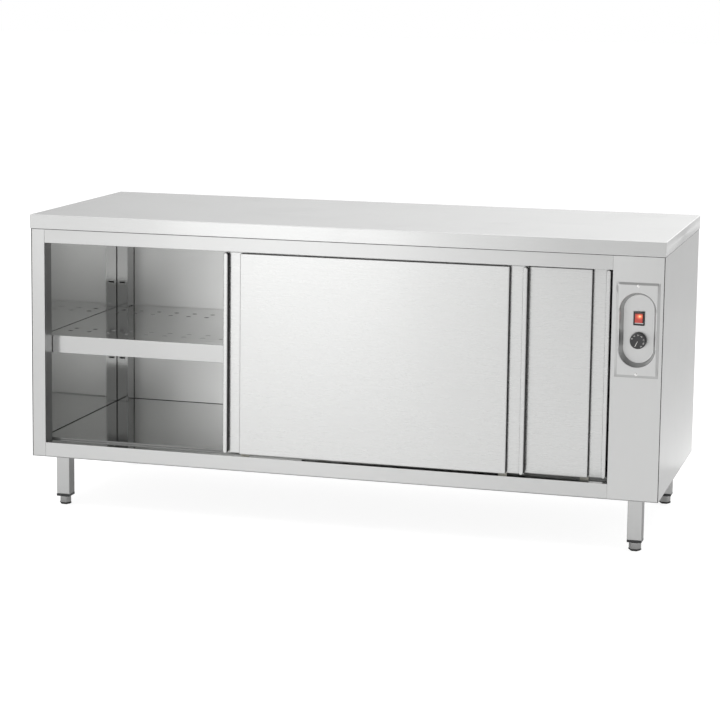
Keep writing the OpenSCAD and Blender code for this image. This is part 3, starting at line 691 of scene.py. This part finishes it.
def domed_heads(name, places, radius, height, direction, finish):
    """Blind rivets: low domes with a small pin hole in the middle."""
    bm = bmesh.new()
    turn = Vector((0, 0, 1)).rotation_difference(Vector(direction)).to_matrix().to_4x4()
    profile = [(radius, 0), (radius, height * 0.25)]
    profile += [(radius * math.cos(a), height * (0.25 + 0.75 * math.sin(a)))
                for a in (math.radians(d) for d in (15, 30, 45, 60, 72))]
    profile += [(radius * 0.22, height), (radius * 0.2, height * 0.6)]
    for place_at in places:
        turned(bm, profile, 20, Matrix.Translation(place_at) @ turn)
    piece = piece_from(name, bm, finish)
    smooth_all(piece, 50)
    return settle(piece, "chassis", "screw_steel")


# ---- pieces -----------------------------------------------------------------

class CabinetOperator:
    bl_options = {"REGISTER", "UNDO"}

    def execute(self, context):
        self.make(context, finishes(context))
        return {"FINISHED"}


class PLATE_CABINET_OT_worktop(CabinetOperator, bpy.types.Operator):
    """Fold the worktop's sheet over its board"""
    bl_idname = "plate_cabinet.worktop"
    bl_label = "Worktop"

    def make(self, context, finish):
        bm = bmesh.new()
        box_shell(bm, *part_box("worktop"))
        under = min(bm.faces, key=lambda f: f.calc_center_median().z)
        below = set(under.edges)
        bmesh.ops.bevel(bm, geom=[e for e in bm.edges if e not in below], offset=0.0022,
                        segments=5, profile=0.5, affect="EDGES", clamp_overlap=True)
        under = max((f for f in bm.faces if f.normal.z < -0.9), key=lambda f: f.calc_area())
        bmesh.ops.bevel(bm, geom=list(under.edges), offset=0.0016, segments=3, profile=0.5,
                        affect="EDGES", clamp_overlap=True)
        under = max((f for f in bm.faces if f.normal.z < -0.9), key=lambda f: f.calc_area())
        bmesh.ops.inset_region(bm, faces=[under], thickness=TOP_RETURN, depth=0)
        bmesh.ops.delete(bm, geom=[under], context="FACES")
        bm.normal_update()
        fold = {f for f in bm.faces if max(abs(c) for c in f.normal) < 0.985}
        for face in bm.faces:
            face.material_index = 1 if face in fold else 0
        piece = piece_from("worktop_sheet", bm, finish["top"], finish["fold"])
        thicken(piece, TOP_SHEET)
        keep_flats(piece)
        settle(piece, "chassis", SLOTS["worktop"], "worktop")
        dress(finish["core_board"], "worktop_core")


class PLATE_CABINET_OT_outer_sheets(CabinetOperator, bpy.types.Operator):
    """Round the folds of the side, back and base sheets and rivet the back on"""
    bl_idname = "plate_cabinet.outer_sheets"
    bl_label = "Outer sheets"

    def make(self, context, finish):
        radius = context.scene.plate_cabinet_steel.fold_radius
        for node in ("left_outer_panel", "right_cover", "back_outer_panel"):
            rounded_copy(node, radius, finish["satin_z"], finish["fold"])
        rounded_copy("base_panel", radius, finish["track_steel"], finish["track_steel"])
        low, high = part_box("back_outer_panel")
        edge, rows = 0.012, 5
        places = []
        for i in range(rows):
            z = low.z + 0.03 + i * (high.z - low.z - 0.06) / (rows - 1)
            places += [(low.x + edge, high.y, z), (high.x - edge, high.y, z)]
        for i in range(1, 6):
            x = low.x + i * (high.x - low.x) / 6
            places += [(x, high.y, low.z + edge), (x, high.y, high.z - edge)]
        domed_heads("back_rivets", places, 0.0038, 0.0014, (0, 1, 0), finish["screw_steel"])
        # Dark strips of painted shade under the worktop and in the front corner joints
        self.shade_lines(finish["rubber"])

    @staticmethod
    def shade_lines(shade_strip):
        """Dark strips that paint the shadow under the worktop's overhang and the shade in the
        joints at the upright corners.
        """
        low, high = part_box("left_outer_panel")[0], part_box("right_cover")[1]
        out, line, half = 0.0006, 0.0016, 0.0007
        bm = bmesh.new()
        for y, side in ((low.y, -1), (high.y, 1)):
            bead(bm, (low.x, y, high.z - line), (high.x, y + side * out, high.z), 0.0002)
        for x, side in ((low.x, -1), (high.x, 1)):
            bead(bm, (x, low.y, high.z - line), (x + side * out, high.y, high.z), 0.0002)
            middle = x - side * half
            bead(bm, (middle - half, low.y - out * 0.5, low.z),
                 (middle + half, low.y + out * 0.5, high.z - line), 0.0001)
        piece = piece_from("body_seams", bm, shade_strip)
        smooth_all(piece)
        settle(piece, "chassis", "black_plastic")


class PLATE_CABINET_OT_front_frame(CabinetOperator, bpy.types.Operator):
    """Round the folds of the rails and stiles round the doorway"""
    bl_idname = "plate_cabinet.front_frame"
    bl_label = "Front frame"

    def make(self, context, finish):
        radius = context.scene.plate_cabinet_steel.fold_radius
        for node in ("top_rail", "bottom_rail"):
            rounded_copy(node, radius, finish["satin_x"], finish["fold"])
        for node in ("left_stile", "control_stile"):
            rounded_copy(node, radius, finish["satin_z"], finish["fold"])


class PLATE_CABINET_OT_lining(CabinetOperator, bpy.types.Operator):
    """Line the heated cupboard and stand its slotted uprights"""
    bl_idname = "plate_cabinet.lining"
    bl_label = "Lining"

    def make(self, context, finish):
        radius = context.scene.plate_cabinet_steel.fold_radius
        dress(finish["side_lining"], "left_liner")
        dress(finish["shelf_top"], "ceiling_panel")
        dress(finish["back_lining"], "back_liner")
        # The floor liner's front-facing edge gets the darker copy of the lining: painted shade
        recolour(rounded_copy("floor_liner", radius * 0.2, finish["shelf_top"],
                              finish["shelf_top"], finish["sill_painted_shade"]),
                 lambda p: p.normal.y < -0.7)
        rounded_copy("column_partition", radius * 0.4, finish["side_lining"], finish["fold"])
        for node in ("rear_left_upright", "rear_right_upright"):
            # The front faces of the uprights get the darker copy: painted dark reflection
            recolour(rounded_copy(node, radius * 0.5, finish["upright_steel"],
                                  finish["upright_steel"], finish["upright_front_painted_shade"]),
                     lambda p: p.normal.y < -0.9)
        # Dark strips of painted shade in the lining's joints
        self.shade_lines(finish["rubber"])

    @staticmethod
    def shade_lines(shade_strip):
        """Dark strips that paint the shade in the joints where the lining sheets and the uprights
        meet.
        """
        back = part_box("back_liner")[0].y
        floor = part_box("floor_liner")[1].z
        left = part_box("left_liner")[1].x
        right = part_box("column_partition")[0].x
        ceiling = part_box("ceiling_panel")[0].z
        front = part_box("left_liner")[0].y
        upright_low, upright_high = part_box("rear_left_upright")
        width, line, radius = upright_high.x - upright_low.x, 0.0012, 0.0003
        bm = bmesh.new()
        bead(bm, (left, back - line, floor), (right, back, floor + line), radius)
        for x, side in ((left, 1), (right, -1)):
            for near, far, y, deep, top in (
                    (0, line, front, back - front, floor + line),
                    (0, 1.3 * line, upright_low.y - line, line, ceiling),
                    (width, width + line, back - line, line, ceiling)):
                bead(bm, (x + side * near, y, floor), (x + side * far, y + deep, top), radius)
        piece = piece_from("lining_seams", bm, shade_strip)
        smooth_all(piece)
        settle(piece, "chassis", "black_plastic")


class PLATE_CABINET_OT_shelf(CabinetOperator, bpy.types.Operator):
    """Fold the perforated shelf and hang its brackets"""
    bl_idname = "plate_cabinet.shelf"
    bl_label = "Shelf"

    def make(self, context, finish):
        radius = context.scene.plate_cabinet_steel.fold_radius
        low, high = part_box("shelf")
        rim = 0.03
        shelf = rounded_copy("shelf", radius * 0.9, finish["shelf_steel"], finish["fold"],
                             finish["shelf_top"])
        recolour(shelf, lambda p: p.normal.z > 0.99 and p.center.z > high.z - 0.0005)
        # The walls and rims of the shelf's holes get the darker copy of the lining: painted shade
        shelf.data.materials.append(finish["sill_painted_shade"])
        recolour(shelf, lambda p: abs(p.normal.z) < 0.99
                 and low.x + rim < p.center.x < high.x - rim
                 and low.y + rim < p.center.y < high.y - rim)
        rounded_copy("shelf_brackets", radius * 0.5, finish["satin_x"], finish["fold"])


class PLATE_CABINET_OT_tracks(CabinetOperator, bpy.types.Operator):
    """Finish the upper and lower tracks of the doors"""
    bl_idname = "plate_cabinet.tracks"
    bl_label = "Tracks"

    def make(self, context, finish):
        rounded_copy("top_track", 0.0004, finish["track_steel"], finish["fold"])
        # The bottom track's folds get the darker copy of the lining: painted shade
        rounded_copy("bottom_track", 0.0004, finish["shelf_top"], finish["sill_painted_shade"])


def pill_ring(middle_x, y, low_z, high_z, radius, steps=10):
    """Upright stadium outline in a plane of constant y, from its lower to its upper end."""
    ring = []
    for z, start in ((low_z, math.pi), (high_z, 0.0)):
        for i in range(steps + 1):
            a = start + math.pi * i / steps
            ring.append(Vector((middle_x + radius * math.cos(a), y, z + radius * math.sin(a))))
    return ring


def door_front(door, finish):
    """A door's folded front: raised panel, finger channels and a rounded lip at each end."""
    node = door + "_door_skin"
    low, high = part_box(node)
    bm = bmesh.new()
    back = low.y + DOOR_RELIEF
    bead(bm, (low.x, back - DOOR_SHEET, low.z), (high.x, back, high.z), 0.0004)
    deep = back - DOOR_SHEET / 2
    edges = box_shell(bm, Vector((low.x + GRIP_ZONE, low.y, low.z)),
                      Vector((high.x - GRIP_ZONE, deep, high.z)))
    ahead = [e for e in edges if min(v.co.y for v in e.verts) < low.y + 1e-6]
    bmesh.ops.bevel(bm, geom=ahead, offset=PANEL_RADIUS, segments=5, profile=0.5, affect="EDGES")
    half = LIP_WIDTH / 2
    for x in (low.x + half, high.x - half):
        rings = [pill_ring(x, deep, low.z + half, high.z - half, half)]
        for degrees in range(0, 91, 15):
            a = math.radians(degrees)
            rings.append(pill_ring(x, low.y + LIP_RADIUS * (1 - math.sin(a)), low.z + half,
                                   high.z - half, half - LIP_RADIUS * (1 - math.cos(a))))
        rings_to_mesh(bm, rings, close_first=True, close_last=True)
    bmesh.ops.recalc_face_normals(bm, faces=bm.faces)
    piece = piece_from(door + "_door_front", bm, finish["door_steel"], finish["channel_painted_shade"])
    keep_flats(piece)
    # The right-facing walls of the lips and the panel get the near-black steel: painted shade
    recolour(piece, lambda p: p.normal.x > 0.8 and p.center.y > low.y + LIP_RADIUS)
    return settle(piece, door + "_door", SLOTS[node], node)


class PLATE_CABINET_OT_doors(CabinetOperator, bpy.types.Operator):
    """Form both doors with their backs, cores, hangers, guides and rollers"""
    bl_idname = "plate_cabinet.doors"
    bl_label = "Doors"

    def make(self, context, finish):
        for door in ("front", "rear"):
            door_front(door, finish)
            # The right-facing faces of the door back get the near-black steel: painted shade
            recolour(rounded_copy(door + "_door_back", 0.0005, finish["satin_x"],
                                  finish["fold"], finish["channel_painted_shade"]),
                     lambda p: p.normal.x > 0.8)
            rounded_copy(door + "_door_hangers", 0.0003, finish["screw_steel"])
            rounded_copy(door + "_door_guides", 0.0005, finish["nylon"])
            dress(finish["mineral_wool"], door + "_door_core")
            for side in ("left", "right"):
                rounded_copy("%s_%s_roller" % (door, side), 0.0004, finish["nylon"])


def stadium_reach(angle, radius, half_straight):
    """Distance from the middle of an upright stadium to its edge along an angle."""
    cosine, sine = math.cos(angle), math.sin(angle)
    if abs(cosine) > 1e-9 and abs(radius / cosine * sine) <= half_straight:
        return radius / abs(cosine)
    lift = half_straight * abs(sine)
    return lift + math.sqrt(max(0.0, lift * lift - half_straight ** 2 + radius ** 2))


def rectangle_reach(angle, half_width, half_height):
    """Distance from the middle of a rectangle to its edge along an angle."""
    cosine, sine = abs(math.cos(angle)), abs(math.sin(angle))
    return min(half_width / cosine if cosine > 1e-9 else 9.0,
               half_height / sine if sine > 1e-9 else 9.0)


class PLATE_CABINET_OT_control_plate(CabinetOperator, bpy.types.Operator):
    """Press the control plate with its dish, and set its two screws"""
    bl_idname = "plate_cabinet.control_plate"
    bl_label = "Control plate"

    def make(self, context, finish):
        looks = context.scene.plate_cabinet_controls
        low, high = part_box("control_plate")
        half_w, half_h = (high.x - low.x) / 2, (high.z - low.z) / 2
        mid = (low + high) / 2
        rise, sheet = 0.003, 0.0015
        depth = high.y - low.y - sheet
        mouth_r, floor_r, straight = 0.048, 0.0395, 0.051
        corners = [math.atan2(sz * (half_h - inset), sx * (half_w - inset))
                   for sx in (-1, 1) for sz in (-1, 1)
                   for inset in (0.0, looks.border_slope)]
        angles = sorted(set(round(a, 6) for a in
                            [2 * math.pi * i / 120 - math.pi for i in range(120)] + corners))

        def ring(behind, reach, *sizes):
            return [Vector((mid.x + math.cos(a) * reach(a, *sizes), low.y + behind,
                            mid.z + math.sin(a) * reach(a, *sizes))) for a in angles]

        slope, fillet, bend = looks.border_slope, looks.dish_mouth_radius, 0.003
        border = [(0.0, rise), (0.0006, rise - 0.0009), (slope * 0.8, 0.00035), (slope, 0.00006),
                  (slope * 1.2, 0.0)]
        steps = [math.radians(15 * step) for step in range(6)]
        lead = math.radians(12)
        dish = [(mouth_r + fillet * (1 - math.sin(a)), fillet * (1 - math.cos(a))) for a in steps]
        dish += [(mouth_r - 0.0008, fillet * 1.3), ((mouth_r + floor_r) / 2, depth * 0.5)]
        dish += [(floor_r + 0.0022 - bend * (1 - math.cos(a + lead)),
                  depth - bend * (1 - math.sin(a + lead))) for a in steps]
        dish.append((floor_r - 0.0035, depth))
        rings = [ring(behind, rectangle_reach, half_w - inset, half_h - inset)
                 for inset, behind in border]
        rings += [ring(behind, stadium_reach, radius, straight) for radius, behind in dish]
        bm = bmesh.new()
        rows = rings_to_mesh(bm, rings)
        hub = bm.verts.new((mid.x, low.y + depth, mid.z))
        last = rows[-1]
        for i in range(len(last)):
            bm.faces.new((last[i], last[(i + 1) % len(last)], hub))
        bmesh.ops.recalc_face_normals(bm, faces=bm.faces)
        if sum(f.normal.y * f.calc_area() for f in bm.faces) > 0:
            bmesh.ops.reverse_faces(bm, faces=bm.faces)
        # The sloping border gets the darker copy of the plate steel: painted shade
        for face in bm.faces:
            spot = face.calc_center_median() - mid
            outside = max(abs(spot.x) - half_w, abs(spot.z) - half_h) > -slope
            face.material_index = 1 if outside else 0
        piece = piece_from("pressed_control_plate", bm, finish["plate_steel"],
                           finish["slope_painted_shade"])
        thicken(piece, sheet)
        keep_flats(piece, 45, 70)
        settle(piece, "chassis", SLOTS["control_plate"], "control_plate")
        rounded_copy("control_screws", 0.00015, finish["screw_steel"], segments=2)


class PLATE_CABINET_OT_switch(CabinetOperator, bpy.types.Operator):
    """Set the switch frame and its lit rocker"""
    bl_idname = "plate_cabinet.switch"
    bl_label = "Switch"

    def make(self, context, finish):
        rounded_copy("switch_housing", 0.0009, finish["switch_black"])
        rounded_copy("rocker", 0.0009, finish["rocker_red"], segments=4)


class PLATE_CABINET_OT_knob(CabinetOperator, bpy.types.Operator):
    """Mould the thermostat's knob and print its numbers and zero line"""
    bl_idname = "plate_cabinet.knob"
    bl_label = "Knob"

    def make(self, context, finish):
        looks = context.scene.plate_cabinet_controls
        low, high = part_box("knob")
        mid = (low + high) / 2
        radius, height = (high.x - low.x) / 2, high.y - low.y
        face_r = radius - 0.0022
        profile = [(radius - 0.0012, 0), (radius, 0.0006), (radius, 0.0034),
                   (radius - 0.0006, 0.0038), (radius - 0.0006, 0.0046), (radius - 0.0001, 0.005)]
        profile += [(radius - 0.0001 - 0.0012 * t, 0.005 + (height - 0.0068) * t)
                    for t in (0.5, 1.0)]
        profile += [(face_r - 0.0002 + 0.0011 * math.cos(a), height - 0.0013 + 0.0013 * math.sin(a))
                    for a in (math.radians(d) for d in (20, 40, 60, 80))]
        profile += [(face_r - 0.0012, height), (face_r - 0.0022, height - 0.0003),
                    (0.003, height - 0.0003)]
        bm = bmesh.new()
        base = facing_front(mid.x, high.y, mid.z)
        turned(bm, profile, 72, base)
        piece = piece_from("thermostat_knob", bm, finish["knob_black"])
        smooth_all(piece, 40)
        settle(piece, "knob", SLOTS["knob"], "knob")
        face = height - 0.0003
        marks = bmesh.new()
        for i in range(looks.number_count):
            angle = -(looks.number_angle + i * looks.number_spacing)
            spin = base @ Matrix.Rotation(angle, 4, "Z") @ Matrix.Translation((0, 0.0162, face))
            self.number(marks, str(looks.number_first + i * looks.number_step), spin)
        line = base @ Matrix.Rotation(-looks.pointer_angle, 4, "Z")
        outline = [(-0.00055, 0.0008), (0.00055, 0.0008), (0.0007, 0.0155), (0, 0.0163),
                   (-0.0007, 0.0155)]
        rings_to_mesh(marks, [[line @ Vector((x, y, face + rise)) for x, y in outline]
                              for rise in (-0.0003, 0.0003)], close_first=True, close_last=True)
        bmesh.ops.recalc_face_normals(marks, faces=marks.faces)
        painted = piece_from("knob_numbers", marks, finish["paint"])
        settle(painted, "knob", SLOTS["knob"])

    @staticmethod
    def number(bm, digits, to_frame):
        curve = bpy.data.curves.new("digits", "FONT")
        curve.body = digits
        curve.size = 0.0046
        curve.align_x, curve.align_y = "CENTER", "CENTER"
        curve.extrude = 0.0002
        curve.resolution_u = 3
        holder = bpy.data.objects.new("digits", curve)
        bpy.context.scene.collection.objects.link(holder)
        graph = bpy.context.evaluated_depsgraph_get()
        mesh = bpy.data.meshes.new_from_object(holder.evaluated_get(graph), depsgraph=graph)
        mesh.transform(to_frame)
        bm.from_mesh(mesh)
        bpy.data.objects.remove(holder)
        bpy.data.curves.remove(curve)
        bpy.data.meshes.remove(mesh)


class PLATE_CABINET_OT_heating(CabinetOperator, bpy.types.Operator):
    """Finish the fan, the heater and the thermostat in the column"""
    bl_idname = "plate_cabinet.heating"
    bl_label = "Heating"

    def make(self, context, finish):
        rounded_copy("fan_chamber", 0.0006, finish["satin_z"], finish["fold"])
        rounded_copy("fan_impeller", 0.0003, finish["satin_x"])
        rounded_copy("fan_motor", 0.0012, finish["dark_metal"])
        dress(finish["heater_steel"], "heating_element")
        rounded_copy("thermostat", 0.0006, finish["dark_metal"])
        rounded_copy("safety_cutout", 0.0003, finish["dark_metal"])


class PLATE_CABINET_OT_wiring(CabinetOperator, bpy.types.Operator):
    """Finish the terminal block, the wires and the gland at the back"""
    bl_idname = "plate_cabinet.wiring"
    bl_label = "Wiring"

    def make(self, context, finish):
        rounded_copy("terminal_block", 0.0006, finish["ivory_plastic"])
        dress(finish["wire_insulation"], "wiring_loom")
        rounded_copy("cable_gland", 0.0005, finish["black_plastic"])


class PLATE_CABINET_OT_legs(CabinetOperator, bpy.types.Operator):
    """Round the corners of the leg tubes and plug their ends"""
    bl_idname = "plate_cabinet.legs"
    bl_label = "Legs"

    def make(self, context, finish):
        radius = context.scene.plate_cabinet_steel.leg_radius
        for corner in CORNERS:
            # The right-facing sides of the legs get the darker copy of the steel: painted shade
            recolour(rounded_copy(corner + "_leg", radius, finish["leg_front"], finish["leg_front"],
                                  finish["leg_side_painted_shade"], segments=5, angle=60),
                     lambda p: p.normal.x > 0.7)
        rounded_copy("leg_caps", 0.001, finish["black_plastic"])


class PLATE_CABINET_OT_feet(CabinetOperator, bpy.types.Operator):
    """Turn the levelling feet with their threads and rubber bases"""
    bl_idname = "plate_cabinet.feet"
    bl_label = "Feet"

    def make(self, context, finish):
        shoulder, pitch = 0.0247, 0.0015
        for corner in CORNERS:
            node = corner + "_foot"
            low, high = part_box(node)
            at = Matrix.Translation(((low.x + high.x) / 2, (low.y + high.y) / 2, low.z))
            wide, tall = (high.x - low.x) / 2, high.z - low.z
            barrel = bmesh.new()
            turned(barrel, [(wide - 0.0016, 0.0055), (wide - 0.001, 0.0062),
                            (wide - 0.001, shoulder - 0.0028), (wide - 0.0032, shoulder)], 6, at)
            thread = [(0.0046, shoulder - 0.001)]
            height = shoulder
            while height < tall - 0.0022:
                thread += [(0.0049, height + 0.0004), (0.0042, height + 0.0011)]
                height += pitch
            turned(barrel, thread + [(0.0036, tall)], 20, at)
            base = bmesh.new()
            turned(base, [(wide - 0.0042, 0), (wide - 0.0036, 0.0002), (wide - 0.0002, 0.003),
                          (wide, 0.0036), (wide, 0.0052), (wide - 0.0006, 0.006)], 6, at)
            for ending, bm, radius, look, slot in (
                    ("_barrel", barrel, 0.0009, "foot_steel", SLOTS[node]),
                    ("_rubber", base, 0.0006, "rubber", "black_plastic")):
                bm.normal_update()
                mark_folds(bm, radius, math.radians(40))
                piece = piece_from(node + ending, bm, finish[look])
                finish_edges(piece, radius)
                settle(piece, node, slot, node)


class PLATE_CABINET_OT_filling(CabinetOperator, bpy.types.Operator):
    """Finish the mineral wool in the walls"""
    bl_idname = "plate_cabinet.filling"
    bl_label = "Filling"

    def make(self, context, finish):
        dress(finish["mineral_wool"], "insulation_mats")


# ---- stage ------------------------------------------------------------------

LAMPS = (
    # name, place, target, width, height, radiance
    ("overhead_soft", (0.0, -0.6, 3.6), (0.0, -0.6, 0.0), 5.0, 4.5, 1.2),
    ("key_wide", (-1.6, -4.3, 1.05), (0.1, -0.35, 0.6), 2.7, 2.0, 0.5),
    ("key_strip", (-1.3, -4.2, 1.05), (0.1, -0.35, 0.6), 1.1, 2.0, 0.75),
    ("side_soft", (0.85, 3.4, 0.5), (0.85, 0.0, 0.5), 0.9, 1.0, 0.5),
    ("side_floor", (0.75, 2.4, 0.02), (0.75, 2.4, 1.0), 0.9, 3.4, 0.7),
)


def seen_white(net, white, lit):
    """Shows the camera the white one, and lights and mirrors the other."""
    seen = net.add("LightPath").outputs["Is Camera Ray"]
    return net.add("MixShader", {0: seen, 1: lit, 2: white}).outputs[0]


def glowing_paint(net, glow, share):
    """Matt paint with an even glow of its own."""
    lamp = net.add("Emission", {"Color": (1, 1, 1, 1), "Strength": glow})
    matt = net.add("BsdfDiffuse", {"Color": (share, share, share, 1)})
    return net.add("AddShader", {0: lamp.outputs[0], 1: matt.outputs[0]}).outputs[0]


def area_lamp(name, place_at, target, width, height, radiance):
    """A soft rectangle of even radiance, not seen by the camera itself."""
    lamp = bpy.data.lights.new(name, "AREA")
    lamp.shape = "RECTANGLE"
    lamp.size, lamp.size_y = width, height
    lamp.energy = radiance * math.pi * width * height
    holder = bpy.data.objects.new(name, lamp)
    bpy.context.scene.collection.objects.link(holder)
    holder.location = place_at
    aim = Vector(target) - Vector(place_at)
    holder.rotation_euler = aim.to_track_quat("-Z", "Y").to_euler()
    holder.visible_camera = False


class PLATE_CABINET_OT_stage(bpy.types.Operator):
    """Lay the pale floor, hang the soft lamps and place the camera"""
    bl_idname = "plate_cabinet.stage"
    bl_label = "Stage"
    bl_options = {"REGISTER", "UNDO"}

    def execute(self, context):
        studio = context.scene.plate_cabinet_studio
        context.scene.view_settings.view_transform = "Standard"
        self.world(context, studio)
        self.floor(studio)
        for lamp in LAMPS:
            area_lamp(*lamp)
        self.camera(context, studio)
        return {"FINISHED"}

    def world(self, context, studio):
        world = bpy.data.worlds.new("soft_studio")
        context.scene.world = world
        world.use_nodes = True
        tree = world.node_tree
        tree.nodes.clear()
        net = Net(tree)
        way = net.add("SeparateXYZ", {0: net.add("TexCoord").outputs["Generated"]}).outputs
        level = net.span(way["Z"], 0.1, 0.6, studio.fill_level,
                         studio.fill_level * studio.fill_above)
        # The far side is brighter on the right, and the near side darker there, above the horizon
        behind = net.math("MULTIPLY", net.span(way["Y"], 0.3, 0.7),
                          net.span(way["X"], -0.42, -0.05))
        ahead = net.math("MULTIPLY", net.span(way["Y"], -0.5, -0.8), net.span(way["X"], 0.0, 0.2))
        ahead = net.math("MULTIPLY", ahead, net.span(way["Z"], 0.01, 0.06))
        level = net.math("MULTIPLY", level, net.span(behind, 0, 1, 1, 1 + studio.fill_behind))
        level = net.math("MULTIPLY", level, net.span(ahead, 0, 1, 1, 1 - studio.fill_ahead))
        white = net.add("Background", {"Color": (1, 1, 1, 1), "Strength": 1.0})
        lit = net.add("Background", {"Color": (1, 1, 1, 1), "Strength": level})
        shown = seen_white(net, white.outputs[0], lit.outputs[0])
        net.add("OutputWorld", {"Surface": shown})

    def floor(self, studio):
        bm = bmesh.new()
        reach = 40.0
        corners = [bm.verts.new((x, y, 0)) for x, y in
                   ((-reach, -reach), (reach, -reach), (reach, reach), (-reach, reach))]
        bm.faces.new(corners)
        sheet = bpy.data.materials.new("pale_floor_paint")
        sheet.use_nodes = True
        tree = sheet.node_tree
        tree.nodes.clear()
        net = Net(tree)
        shown = seen_white(net, glowing_paint(net, studio.floor_glow, 1.25 - studio.floor_glow),
                           glowing_paint(net, studio.floor_lift, 0.7))
        net.add("OutputMaterial", {"Surface": shown})
        floor = piece_from("studio_floor", bm, sheet)

    def camera(self, context, studio):
        yaw, pitch, roll = studio.camera_turn
        turn = Matrix.Rotation(yaw, 4, "Z") @ Matrix.Rotation(math.pi / 2 - pitch, 4, "X") \
            @ Matrix.Rotation(roll, 4, "Z")
        lens = bpy.data.cameras.new("photo_camera")
        lens.sensor_fit = "HORIZONTAL"
        lens.sensor_width = 36.0
        lens.lens = studio.camera_lens
        lens.shift_x, lens.shift_y = studio.camera_shift
        lens.clip_end = 200.0
        holder = bpy.data.objects.new("photo_camera", lens)
        context.scene.collection.objects.link(holder)
        holder.matrix_world = Matrix.Translation(studio.camera_place) @ turn
        context.scene.camera = holder


PIECES = (
    PLATE_CABINET_OT_worktop,
    PLATE_CABINET_OT_outer_sheets,
    PLATE_CABINET_OT_front_frame,
    PLATE_CABINET_OT_lining,
    PLATE_CABINET_OT_shelf,
    PLATE_CABINET_OT_tracks,
    PLATE_CABINET_OT_doors,
    PLATE_CABINET_OT_control_plate,
    PLATE_CABINET_OT_switch,
    PLATE_CABINET_OT_knob,
    PLATE_CABINET_OT_heating,
    PLATE_CABINET_OT_wiring,
    PLATE_CABINET_OT_legs,
    PLATE_CABINET_OT_feet,
    PLATE_CABINET_OT_filling,
    PLATE_CABINET_OT_stage,
)


class PLATE_CABINET_PT_sidebar(bpy.types.Panel):
    """Lists the pieces of the plate cabinet and their settings"""
    bl_idname = "PLATE_CABINET_PT_sidebar"
    bl_label = "Plate Cabinet"
    bl_space_type = "VIEW_3D"
    bl_region_type = "UI"
    bl_category = "Plate Cabinet"

    def draw(self, context):
        column = self.layout.column(align=True)
        for piece in PIECES:
            column.operator(piece.bl_idname)
        for title, group in (("Steel", context.scene.plate_cabinet_steel),
                             ("Controls", context.scene.plate_cabinet_controls),
                             ("Studio", context.scene.plate_cabinet_studio)):
            box = self.layout.box()
            box.label(text=title)
            for name in group.__annotations__:
                box.prop(group, name)


GROUPS = {
    "plate_cabinet_steel": SteelFinish,
    "plate_cabinet_controls": ControlLooks,
    "plate_cabinet_studio": StudioSetup,
}


KINDS = (*GROUPS.values(), *PIECES, PLATE_CABINET_PT_sidebar)


def register():
    for kind in KINDS:
        bpy.utils.register_class(kind)
    for name, kind in GROUPS.items():
        setattr(bpy.types.Scene, name, PointerProperty(type=kind))


def unregister():
    for name in GROUPS:
        delattr(bpy.types.Scene, name)
    for kind in reversed(KINDS):
        bpy.utils.unregister_class(kind)


def main():
    register()
    for piece in PIECES:
        group, action = piece.bl_idname.split(".")
        getattr(getattr(bpy.ops, group), action)()


if __name__ == "__main__":
    main()
